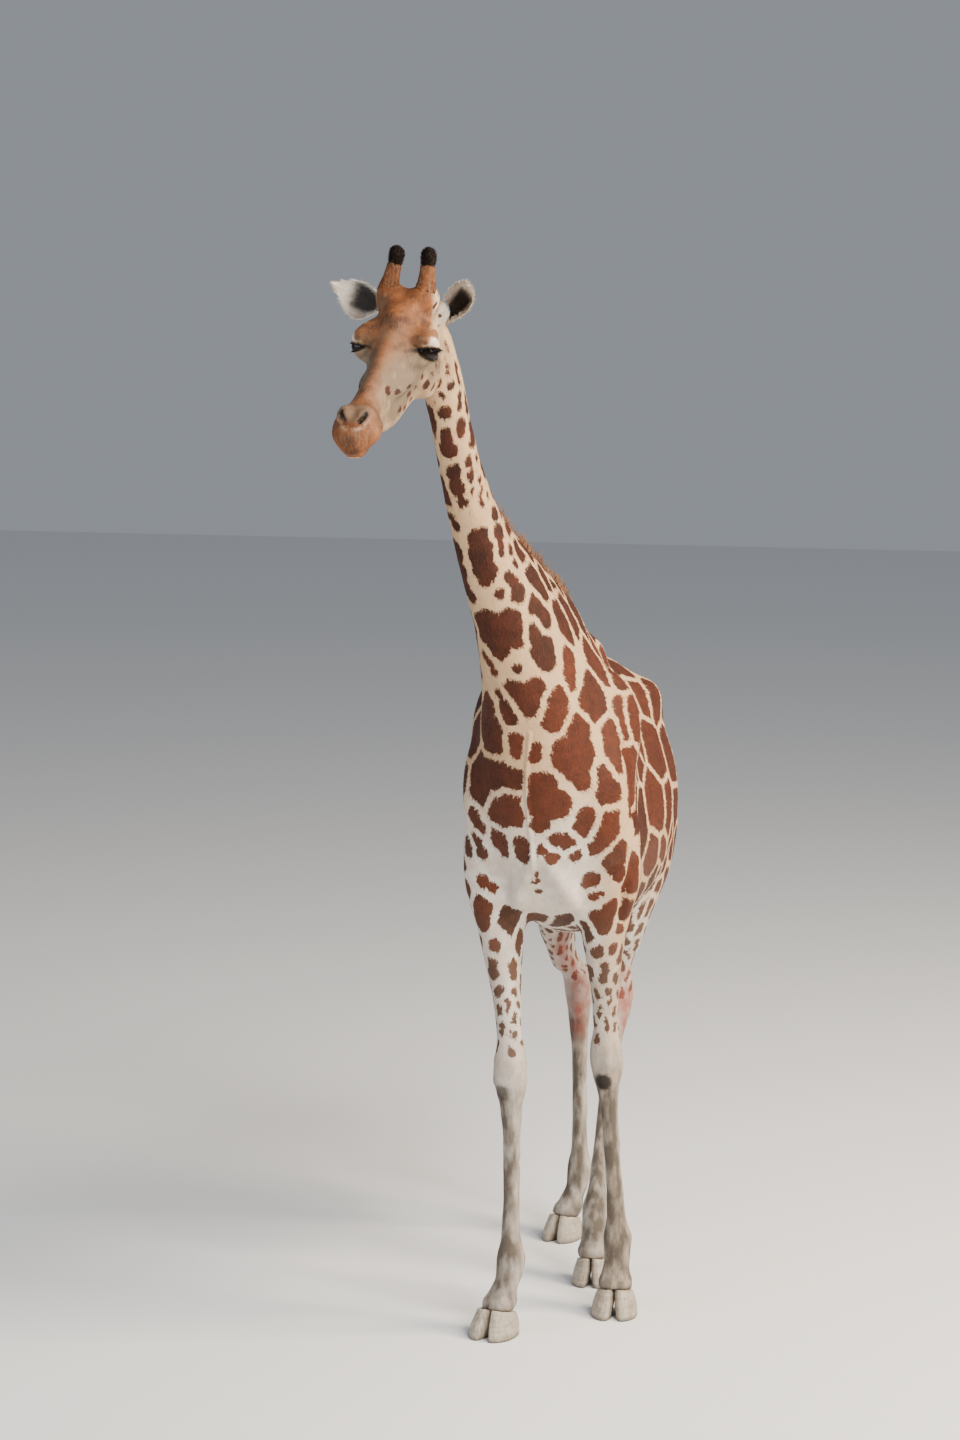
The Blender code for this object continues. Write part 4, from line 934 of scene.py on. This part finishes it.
HORN_RISE = HEAD_AXES @ (-0.25, 0.0, 1.0)
horn_pieces = []
for word in ("left", "right"):
    stem = smoothed_copy("ossicone_" + word, "horn_stem_" + word, 2, 3)
    top = np.array(centre_of("ossicone_tuft_" + word))
    at = read(stem)
    closeness = np.linalg.norm(at - top, axis=1)
    rows = np.zeros((len(at), 3))
    look = rows + (-0.03, 0.5, 0.1)
    face = np.column_stack((np.full(len(at), 0.95), 0.25 * step(closeness, 0.05, 0.03),
                            step(closeness, 0.034, 0.026)))
    carry(stem, [look, face, rows, at])
    stem.data.materials.append(HAIR)
    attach(stem, "root")
    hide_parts("ossicone_" + word)
    horn_pieces.append(stem)
    cap = smoothed_copy("ossicone_tuft_" + word, "horn_cap_" + word, 2, 6)
    at = read(cap)
    rise = unit(HORN_RISE)
    away = at - top - ((at - top) @ rise)[:, None] * rise
    write(cap, at - away * 0.22)
    at = read(cap)
    rows = np.zeros((len(at), 3))
    carry(cap, [rows + (-0.03, 0.5, 0.0), rows + (0.9, 0.2, 0.94), rows, at])
    cap.data.materials.append(HAIR)
    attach(cap, "root")
    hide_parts("ossicone_tuft_" + word)
    horn_pieces.append(cap)

# ---------------------------------------------------------------- ears
# Thin cupped gristle under skin, white inside with dark hair deep in the cup and a cream rim, buff
# behind. Each is worked from its solid, smoothed, and rooted in the hide behind the horns.
EAR_ROOT = from_head((0.02, 0.0, 0.0))


def droop_ear(ear):
    """The right ear hangs lower at its under edge and reaches further out than the left."""
    at = read(ear)
    reach = np.linalg.norm(at - EAR_ROOT, axis=1)
    along = (reach - reach.min()) / np.ptp(reach)
    stations = np.linspace(0, 1, 9)
    low = np.interp(along, stations, [at[np.abs(along - station) < 0.09, 2].mean() for station in stations])
    under = step(low - at[:, 2], -0.005, 0.035)
    out = at.mean(0) - EAR_ROOT
    out /= np.linalg.norm(out)
    at += out * (0.012 * along)[:, None]
    at[:, 2] -= 0.030 * under * np.sin(np.pi * np.clip(along, 0.0, 1.0)) ** 0.8
    write(ear, at)


ear_pieces = []
for word in ("left", "right"):
    ear = smoothed_copy("ear_" + word, "cupped_ear_" + word, 2, 3)
    if word == "right":
        droop_ear(ear)
    at, out = read(ear), read(ear, "normal")
    middle = at.mean(0)
    _, ways_out = np.linalg.eigh(np.cov((at - middle).T))
    opening = ways_out[:, 0] * np.sign(ways_out[:, 0] @ np.array((0.25, -1.0, 0.0)))
    length = ways_out[:, 2] * np.sign((middle - EAR_ROOT) @ ways_out[:, 2])
    along = (at - middle) @ length
    along = (along - along.min()) / np.ptp(along)
    across = (at - middle) @ np.cross(length, opening)
    stations = np.linspace(0.05, 0.95, 10)
    half_widths = [np.abs(across[np.abs(along - station) < 0.06]).max() for station in stations]
    edge = np.abs(across) / np.interp(along, stations, half_widths)
    inside = step(out @ opening, -0.1, 0.3)
    deep = inside * step(edge, 0.78, 0.45) * step(along, 0.80, 0.55) * step(along, 0.02, 0.14)
    rows = np.zeros((len(at), 3))
    carry(ear, [np.column_stack((np.full(len(at), -0.03), np.full(len(at), 0.4), 0.80 + 0.20 * inside)),
                np.column_stack((0.10 * (1 - inside), 0.25 * (1 - inside), 0.93 * deep)), rows, at])
    ear.data.materials.append(HAIR)
    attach(ear, "root")
    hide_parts("ear_" + word)
    ear_pieces.append((ear, opening, length))

# ---------------------------------------------------------------- claws, two hooves to each foot
# Horn sheaths, grey-beige with darker worn soles and faint growth rings, broad and flat below. Each
# is worked from its solid with rounded edges.
made, tree_, shader = material("hoof horn, dry and worn")
at = add(tree_, "ShaderNodeTexCoord").outputs["Object"]
x, y, z = add(tree_, "ShaderNodeSeparateXYZ", {0: at}).outputs
grain = noise_at(tree_, at, 120.0, 4.0, (1.0, 1.0, 0.12))
rings = noise_at(tree_, at, 90.0, 2.0, (0.1, 0.1, 1.0))
horn = blend_of(tree_, share_of(tree_, grain, 0.3, 0.7), colour("#8f8474"), colour("#b9ad9c"))
horn = blend_of(tree_, share_of(tree_, rings, 0.45, 0.62, 0.0, 0.35), horn, colour("#6f6355"))
horn = blend_of(tree_, share_of(tree_, z, 0.016, 0.002, 0.0, 0.8), horn, colour("#3a322b"))
horn = blend_of(tree_, share_of(tree_, z, 0.085, 0.115, 0.0, 0.6), horn, colour("#b9a892"))
tree_.links.new(horn, shader.inputs["Base Color"])
shader.inputs["Roughness"].default_value = 0.52
relief = {"Height": sum_of(tree_, grain, rings), "Distance": 0.0015, "Strength": 0.3}
bump = add(tree_, "ShaderNodeBump", relief)
tree_.links.new(bump.outputs[0], shader.inputs["Normal"])
RINGS_APART, RING_RISE = 0.011, 0.0006
for limb in LIMBS:
    for half in ("a", "b"):
        node = f"{limb}_claw_{half}"
        claw = smoothed_copy(node, f"hoof_{limb}_{half}", 2, 2)
        at, out = read(claw), read(claw, "normal")
        middle = (np.array(centre_of(f"{limb}_claw_a")) + np.array(centre_of(f"{limb}_claw_b"))) / 2
        drawn_in = 0.15 * step(at[:, 2], 0.030, at[:, 2].max())
        at[:, :2] += (middle[:2] - at[:, :2]) * drawn_in[:, None]
        toward = middle - np.array(centre_of(node))
        toward /= np.linalg.norm(toward)
        inner = step((at - middle) @ -toward, 0.030, 0.006)
        at += toward * (0.0048 * inner * step(at[:, 2], 0.005, 0.05))[:, None]
        rise = RING_RISE * np.sin(at[:, 2] * 2 * math.pi / RINGS_APART) * step(at[:, 2], 0.004, 0.012)
        rise *= np.abs(out[:, 2]) < 0.8
        write(claw, at + out * rise[:, None])
        claw.data.materials.append(made)
        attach(claw, "root")
        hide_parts(node)

# ---------------------------------------------------------------- mane
# A standing crest of stiff reddish-brown hair along the top of the neck, ragged at its edge. It is set
# in locks, each from the hide up to somewhere in the crest's solid.
hide_places, hide_nodes = places, nodes
CHART_SPOT = 0.003  # how large each tuft's patch is on the unwrap


def unwrap(places):
    """Each place on a flat unwrap of the hide: one square to a flesh node, round it by along it."""
    _, nodes = solids.read(places)
    flat = np.zeros((len(places), 2))
    for index in range(len(FLESH)):
        skin = hide_places[hide_nodes == index]
        axis = int(np.ptp(skin, axis=0).argmax())
        first, second = [k for k in range(3) if k != axis]
        low, high = skin[:, axis].min(), skin[:, axis].max()
        stations = np.linspace(low, high, 13)
        slices = [skin[np.abs(skin[:, axis] - at) < (high - low) / 16] for at in stations]
        here = nodes == index
        along = places[here, axis]
        x = places[here, first] - np.interp(along, stations, [each[:, first].mean() for each in slices])
        y = places[here, second] - np.interp(along, stations, [each[:, second].mean() for each in slices])
        flat[here, 0] = (index % 4 + 0.5 + 0.94 * np.arctan2(y, x) / (2 * math.pi)) / 4
        flat[here, 1] = (index // 4 + 0.03 + 0.94 * np.clip((along - low) / (high - low), 0, 1)) / 4
    return flat


def curved(starts, ways, bends, stops):
    """Spines that set out along their ways and are bent by their bends, with a point at each stop."""
    return np.stack([starts + ways * t + bends * t * t for t in stops], axis=1)


def set_locks(name, spines, widths, outs, rows, roots, thick=0.0):
    """Joins locks of hair, each a thin tapering blade, or three-sided where thick, along its spine."""
    count, rings = len(spines), spines.shape[1] - 1
    across = unit(np.cross(spines[:, -1] - spines[:, 0], outs))
    outs = unit(np.cross(across, spines[:, -1] - spines[:, 0]))
    corners = ((1.0, 0.0), (-1.0, 0.0), (0.0, thick)) if thick else ((-1.0, 0.0), (1.0, 0.0))
    sides = len(corners)
    ring = [spines[:, :-1] + (across * a + outs * b)[:, None] * widths[:, :-1, None] / 2 for a, b in corners]
    points = np.concatenate((np.stack(ring, axis=2).reshape(count, -1, 3), spines[:, -1:]), axis=1)
    shape = []
    for k in range(rings):
        for a in range(sides if thick else 1):
            b = (a + 1) % sides
            if k == rings - 1:
                shape.append((k * sides + a, k * sides + b, rings * sides))
            else:
                shape.append((k * sides + a, k * sides + b, (k + 1) * sides + b))
                shape.append((k * sides + a, (k + 1) * sides + b, (k + 1) * sides + a))
    size = points.shape[1]
    faces = (np.arange(count)[:, None, None] * size + np.array(shape)[None]).reshape(-1, 3)
    mesh = bpy.data.meshes.new(name)
    mesh.vertices.add(count * size)
    mesh.vertices.foreach_set("co", points.astype(np.float32).ravel())
    mesh.loops.add(faces.size)
    mesh.loops.foreach_set("vertex_index", faces.astype(np.int32).ravel())
    mesh.polygons.add(len(faces))
    mesh.polygons.foreach_set("loop_start", np.arange(0, faces.size, 3, dtype=np.int32))
    mesh.update(calc_edges=True)
    spot = np.array([((j % sides) / max(sides - 1, 1) - 0.5, j // sides / rings - 0.5) for j in range(size)])
    corners_flat = (unwrap(roots)[:, None] + spot[None] * CHART_SPOT).reshape(-1, 2)
    layer = mesh.uv_layers.new(name="OFBake")
    layer.data.foreach_set("uv", corners_flat[faces.ravel()].astype(np.float32).ravel())
    piece = bpy.data.objects.new(name, mesh)
    bpy.context.scene.collection.objects.link(piece)
    carry(piece, [np.repeat(each, size, axis=0) for each in rows])
    mesh.shade_smooth()
    mesh.materials.append(HAIR)
    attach(piece, "root")
    return piece


def triangles_of(piece):
    edit(piece, (bpy.ops.mesh.quads_convert_to_tris, {}))
    corners = np.empty(len(piece.data.polygons) * 3, np.int32)
    piece.data.polygons.foreach_get("vertices", corners)
    return corners.reshape(-1, 3)


def scatter(piece, count, weight=None):
    """Roots spread over a piece: places, outward ways and looks, more where the weight is more."""
    corners = triangles_of(piece)
    at, out = read(piece), read(piece, "normal")
    first, second, third = (at[corners[:, k]] for k in range(3))
    area = np.linalg.norm(np.cross(second - first, third - first), axis=1)
    if weight is not None:
        area = area * weight[corners].mean(1)
    chosen = corners[random.choice(len(corners), count, p=area / area.sum())]
    a, b = random.random((2, count, 1))
    a, b = np.where(a + b > 1, 1 - a, a), np.where(a + b > 1, 1 - b, b)

    def mix(rows):
        return rows[chosen[:, 0]] * (1 - a - b) + rows[chosen[:, 1]] * a + rows[chosen[:, 2]] * b

    looks = []
    for name in LOOKS:
        values = np.empty(len(at) * 3, np.float32)
        piece.data.attributes[name].data.foreach_get("vector", values)
        looks.append(mix(values.reshape(-1, 3).astype(np.float64)))
    return mix(at), unit(mix(out)), looks


def same_looks(count, look, face, roots):
    return [np.tile(look, (count, 1)), np.tile(face, (count, 1)), np.zeros((count, 3)), roots]


def closest_on_hide(points):
    found = [tree.find_nearest(Vector(point)) for point in points]
    return np.array([each[0] for each in found]), np.array([each[1] for each in found])


MANE_LOCKS = 3600
crest = copy_of("mane", "crest")
carry(crest, [np.zeros((len(crest.data.vertices), 3))] * 4)
tips, _, _ = scatter(crest, MANE_LOCKS)
bpy.data.objects.remove(crest)
roots, outs = closest_on_hide(tips)
lengths = np.linalg.norm(tips - roots, axis=1, keepdims=True)
kept = lengths[:, 0] > 0.012
tips, roots, outs, lengths = tips[kept], roots[kept], outs[kept], lengths[kept]
grow = unit(tips - roots) + random.normal(0.0, 0.16, tips.shape) + (0.0, 0.05, 0.10)
lengths = lengths * random.uniform(0.85, 1.25, lengths.shape)
sway = random.normal(0.0, 0.10, tips.shape) + (0.0, 0.12, -0.10)
spines = curved(roots - outs * 0.003, grow * lengths, sway * lengths, (0.0, 0.4, 0.75, 1.0))
widths = np.tile((0.0050, 0.0044, 0.0030, 0.0), (len(tips), 1)) * random.uniform(0.7, 1.3, (len(tips), 1))
rows = same_looks(len(tips), (-0.03, 0.5, 0.0), (1.0, 0.30, 0.0), roots)
rows[1][:, 1] = random.uniform(0.10, 0.75, len(tips))
rows[1][:, 2] = random.uniform(-0.3, 0.35, len(tips)).clip(0, 1)
across = np.tile((1.0, 0.0, 0.0), (len(tips), 1))
mane = set_locks("mane_locks", spines, widths, across, rows, roots, thick=0.7)
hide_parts("mane")

# ---------------------------------------------------------------- tail tuft
# Long coarse black-brown hair hanging from the tail's end to the hocks. It is set in long tapering
# locks, rooted round the last of the tail, that swell out and draw in again at the tip.
TAIL_LOCKS = 620
low, high = (np.array(corner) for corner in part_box("tail_tuft"))
middle, reach = (low + high) / 2, (high - low) / 2
turn = random.uniform(0.0, 2 * math.pi, TAIL_LOCKS)
share = np.sqrt(random.random(TAIL_LOCKS))
ring = np.column_stack((np.cos(turn) * share, np.sin(turn) * share, np.zeros(TAIL_LOCKS)))
starts = random.uniform(0.0, 0.22, TAIL_LOCKS)
finish = starts + random.uniform(0.45, 1.0, TAIL_LOCKS) * (1.0 - starts)
spines = []
for t in (0.0, 0.2, 0.45, 0.7, 0.88, 1.0):
    down = starts + (finish - starts) * t
    swell_out = np.interp(down, (0.0, 0.15, 0.45, 0.8, 1.0), (0.35, 0.75, 1.0, 0.70, 0.20))
    spot = middle + ring * reach * swell_out[:, None] * (0.9 + random.normal(0.0, 0.05, (TAIL_LOCKS, 1)))
    spot[:, 2] = high[2] - down * 2 * reach[2]
    spines.append(spot)
spines = np.stack(spines, 1)
widths = np.tile((0.0050, 0.0060, 0.0055, 0.0045, 0.0030, 0.0), (TAIL_LOCKS, 1))
roots = spines[:, 0]
rows = same_looks(TAIL_LOCKS, (-0.03, 0.3, 0.0), (0.6, 0.5, 0.9), roots)
rows[1][:, 2] = random.uniform(0.70, 1.0, TAIL_LOCKS)
outs = unit(ring + (0.0, 0.0, 1e-3))
tuft = set_locks("tail_tuft_locks", spines, widths, outs, rows, roots, thick=0.8)
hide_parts("tail_tuft")

# ---------------------------------------------------------------- lashes
# Long stiff black lashes, in a fan along each upper lid and shorter along the lower, curving up.
LASHES = (  # lid, how many, longest beside the left and the right eye, how much they droop
    ("upper", 170, {1: 0.024, -1: 0.008}, -1.1), ("lower", 60, {1: 0.008, -1: 0.008}, -0.8),
)
for side, word in ((1, "left"), (-1, "right")):
    out, front, up = eye_ways(side)
    for lid, count, longest, droop in LASHES:
        ahead = random.uniform(-0.82, 0.95, count)
        shut = 1.0 - (ahead / LID_HALF_LENGTH) ** 2
        above = UPPER_LID[side] * shut + 0.10 if lid == "upper" else -LOWER_LID[side] * shut - 0.10
        away = (np.cos(above) * np.cos(ahead))[:, None] * out
        away += (np.cos(above) * np.sin(ahead))[:, None] * front + np.sin(above)[:, None] * up
        start = EYEBALL_AT * (1, side, 1) + away * (EYEBALL + 0.0030)
        length = longest[side] * random.uniform(0.6, 1.0, (count, 1)) * (0.30 + 0.70 * shut[:, None])
        way = unit(away * 0.8 + out * 0.7 + up * droop * 0.5 + random.normal(0.0, 0.07, away.shape))
        curl = up * (0.30 if lid == "upper" else -0.1)
        spines = from_head(curved(start, way * length, curl * length, (0.0, 0.45, 0.8, 1.0)))
        widths = np.tile((0.0015, 0.0012, 0.0007, 0.0), (count, 1))
        roots = spines[:, 0]
        rows = same_looks(count, (-0.03, 0.0, 0.0), (0.0, 0.0, 1.0), roots)
        outs = np.tile(HEAD_AXES @ up, (count, 1))
        set_locks(f"lashes_{lid}_{word}", spines, widths, outs, rows, roots, thick=0.8)

# ---------------------------------------------------------------- hair on horns and ears
# Short upright black hair rings the top of each horn over rusty hair that lies up the stem. The ears
# have soft pale hair on their backs and rims, longer inside.
CAP_TUFTS, STEM_TUFTS, EAR_TUFTS = 1500, 1700, 4200
for piece in horn_pieces:
    cap = "cap" in piece.name
    count = CAP_TUFTS if cap else STEM_TUFTS
    roots, outs, rows = scatter(piece, count)
    way = outs * (0.75 if cap else 0.22) + HORN_RISE * (0.55 if cap else 1.0)
    way = unit(way + random.normal(0.0, 0.12, outs.shape))
    length = random.uniform(0.6, 1.0, (count, 1)) * (0.009 if cap else 0.0065)
    spines = curved(roots - outs * 0.0008, way * length, HORN_RISE * length * 0.25, (0.0, 0.55, 1.0))
    widths = np.tile((0.0026, 0.0020, 0.0), (count, 1))
    set_locks("hair_" + piece.name, spines, widths, outs, rows, roots)
for piece, opening, length_way in ear_pieces:
    count = EAR_TUFTS
    roots, outs, rows = scatter(piece, count)
    facing = outs @ opening
    edge = np.abs(facing) < 0.55
    way = outs * 0.25 + length_way * np.where(edge, 0.8, 1.0)[:, None]
    way = unit(way + random.normal(0.0, 0.20, outs.shape))
    longest = np.where(edge, 0.015, np.where(facing > 0, 0.014, 0.009))
    length = random.uniform(0.6, 1.0, (count, 1)) * longest[:, None]
    spines = curved(roots - outs * 0.0006, way * length, outs * length * 0.12, (0.0, 0.55, 1.0))
    widths = np.tile((0.0024, 0.0019, 0.0), (count, 1))
    set_locks("hair_" + piece.name, spines, widths, outs, rows, roots)

# ---------------------------------------------------------------- coat, tufts over the whole hide
# Short hair that lies flat along the body. Each tuft is a thin blade rooted in the hide that lifts a few
# millimetres at its tip and overlaps the next, smallest on the face and feet.
COAT = (  # which flesh, tufts, length, width, rise
    ("coat_of_head", ("head",), 40000, 0.0080, 0.0018, 0.15),
    ("coat_of_neck", ("neck",), 46000, 0.0115, 0.0026, 0.13),
    ("coat_of_trunk", ("trunk", "tail"), 62000, 0.0145, 0.0034, 0.12),
    ("coat_of_upper_legs", ("upper",), 42000, 0.0115, 0.0027, 0.13),
    ("coat_of_lower_legs", ("lower",), 30000, 0.0095, 0.0023, 0.13),
)
CLAW_TOPS = 0.10
for name, where, count, length, width, rise in COAT:
    weight = region(hide_nodes, *where).astype(float)
    if name == "coat_of_head":  # none on the eyes, and little round the nostrils
        nostril = near_line(to_half_head(hide_places), NOSTRIL, 0.012)
        weight *= (from_eyeball(hide_places) > 0.037) * (1.0 - nostril)
    weight *= hide_places[:, 2] > CLAW_TOPS
    roots, outs, rows = scatter(hide, count, weight)
    _, lock_nodes = solids.read(roots)
    way = unit(along_body(roots, lock_nodes, outs) + random.normal(0.0, 0.13, roots.shape))
    way = unit(way - outs * (way * outs).sum(1, keepdims=True))
    reach = length * random.uniform(0.65, 1.15, (count, 1))
    face_share = step(to_head(roots)[:, 0], 0.10, 0.50)[:, None] if name == "coat_of_head" else 0.0
    reach = reach * (1.0 - 0.45 * face_share)
    lifted = rise * random.uniform(0.5, 1.5, (count, 1))
    spines = curved(roots - outs * 0.0007, (way + outs * lifted) * reach, 0.0, (0.0, 0.5, 1.0))
    widths = np.tile((1.0, 0.8, 0.0), (count, 1)) * width * random.uniform(0.7, 1.2, (count, 1))
    set_locks(name, spines, widths, outs, rows, roots)

# ---------------------------------------------------------------- camera, floor and light
camera = bpy.data.objects.new("camera", bpy.data.cameras.new("camera"))
bpy.context.scene.collection.objects.link(camera)
bpy.context.scene.camera = camera
camera.data.sensor_fit = "VERTICAL"
camera.data.sensor_height = 36.0
camera.data.lens = 85.0
camera.location = (2.657, -10.786, 3.600)
aside, down = math.radians(14.5), math.radians(7.9)
view = Vector((-math.sin(aside) * math.cos(down), math.cos(aside) * math.cos(down), -math.sin(down)))
camera.rotation_euler = view.to_track_quat("-Z", "Y").to_euler()

world = bpy.data.worlds.new("studio")
bpy.context.scene.world = world
world.use_nodes = True
world.node_tree.nodes["Background"].inputs["Color"].default_value = (0.80, 0.86, 0.95, 1.0)
world.node_tree.nodes["Background"].inputs["Strength"].default_value = 0.34
for name, place, size, power, tint in (
        ("key", (5.5, -5.0, 7.0), 4.0, 1350, (1.0, 0.93, 0.84)),
        ("fill", (-6.0, -6.0, 4.0), 5.0, 270, (0.86, 0.92, 1.0)),
        ("rim", (6.0, 0.5, 6.0), 3.0, 1150, (1.0, 0.86, 0.68))):
    lamp = bpy.data.objects.new(name, bpy.data.lights.new(name, "AREA"))
    bpy.context.scene.collection.objects.link(lamp)
    lamp.location = place
    lamp.data.size, lamp.data.energy, lamp.data.color = size, power, tint
    lamp.rotation_euler = (Vector((0.0, 0.0, 1.7)) - Vector(place)).to_track_quat("-Z", "Y").to_euler()

bpy.ops.object.select_all(action="DESELECT")
bpy.ops.mesh.primitive_plane_add(size=60.0)
floor = bpy.context.object
floor.name = "floor"
floor.data.materials.append(bpy.data.materials.new("floor"))
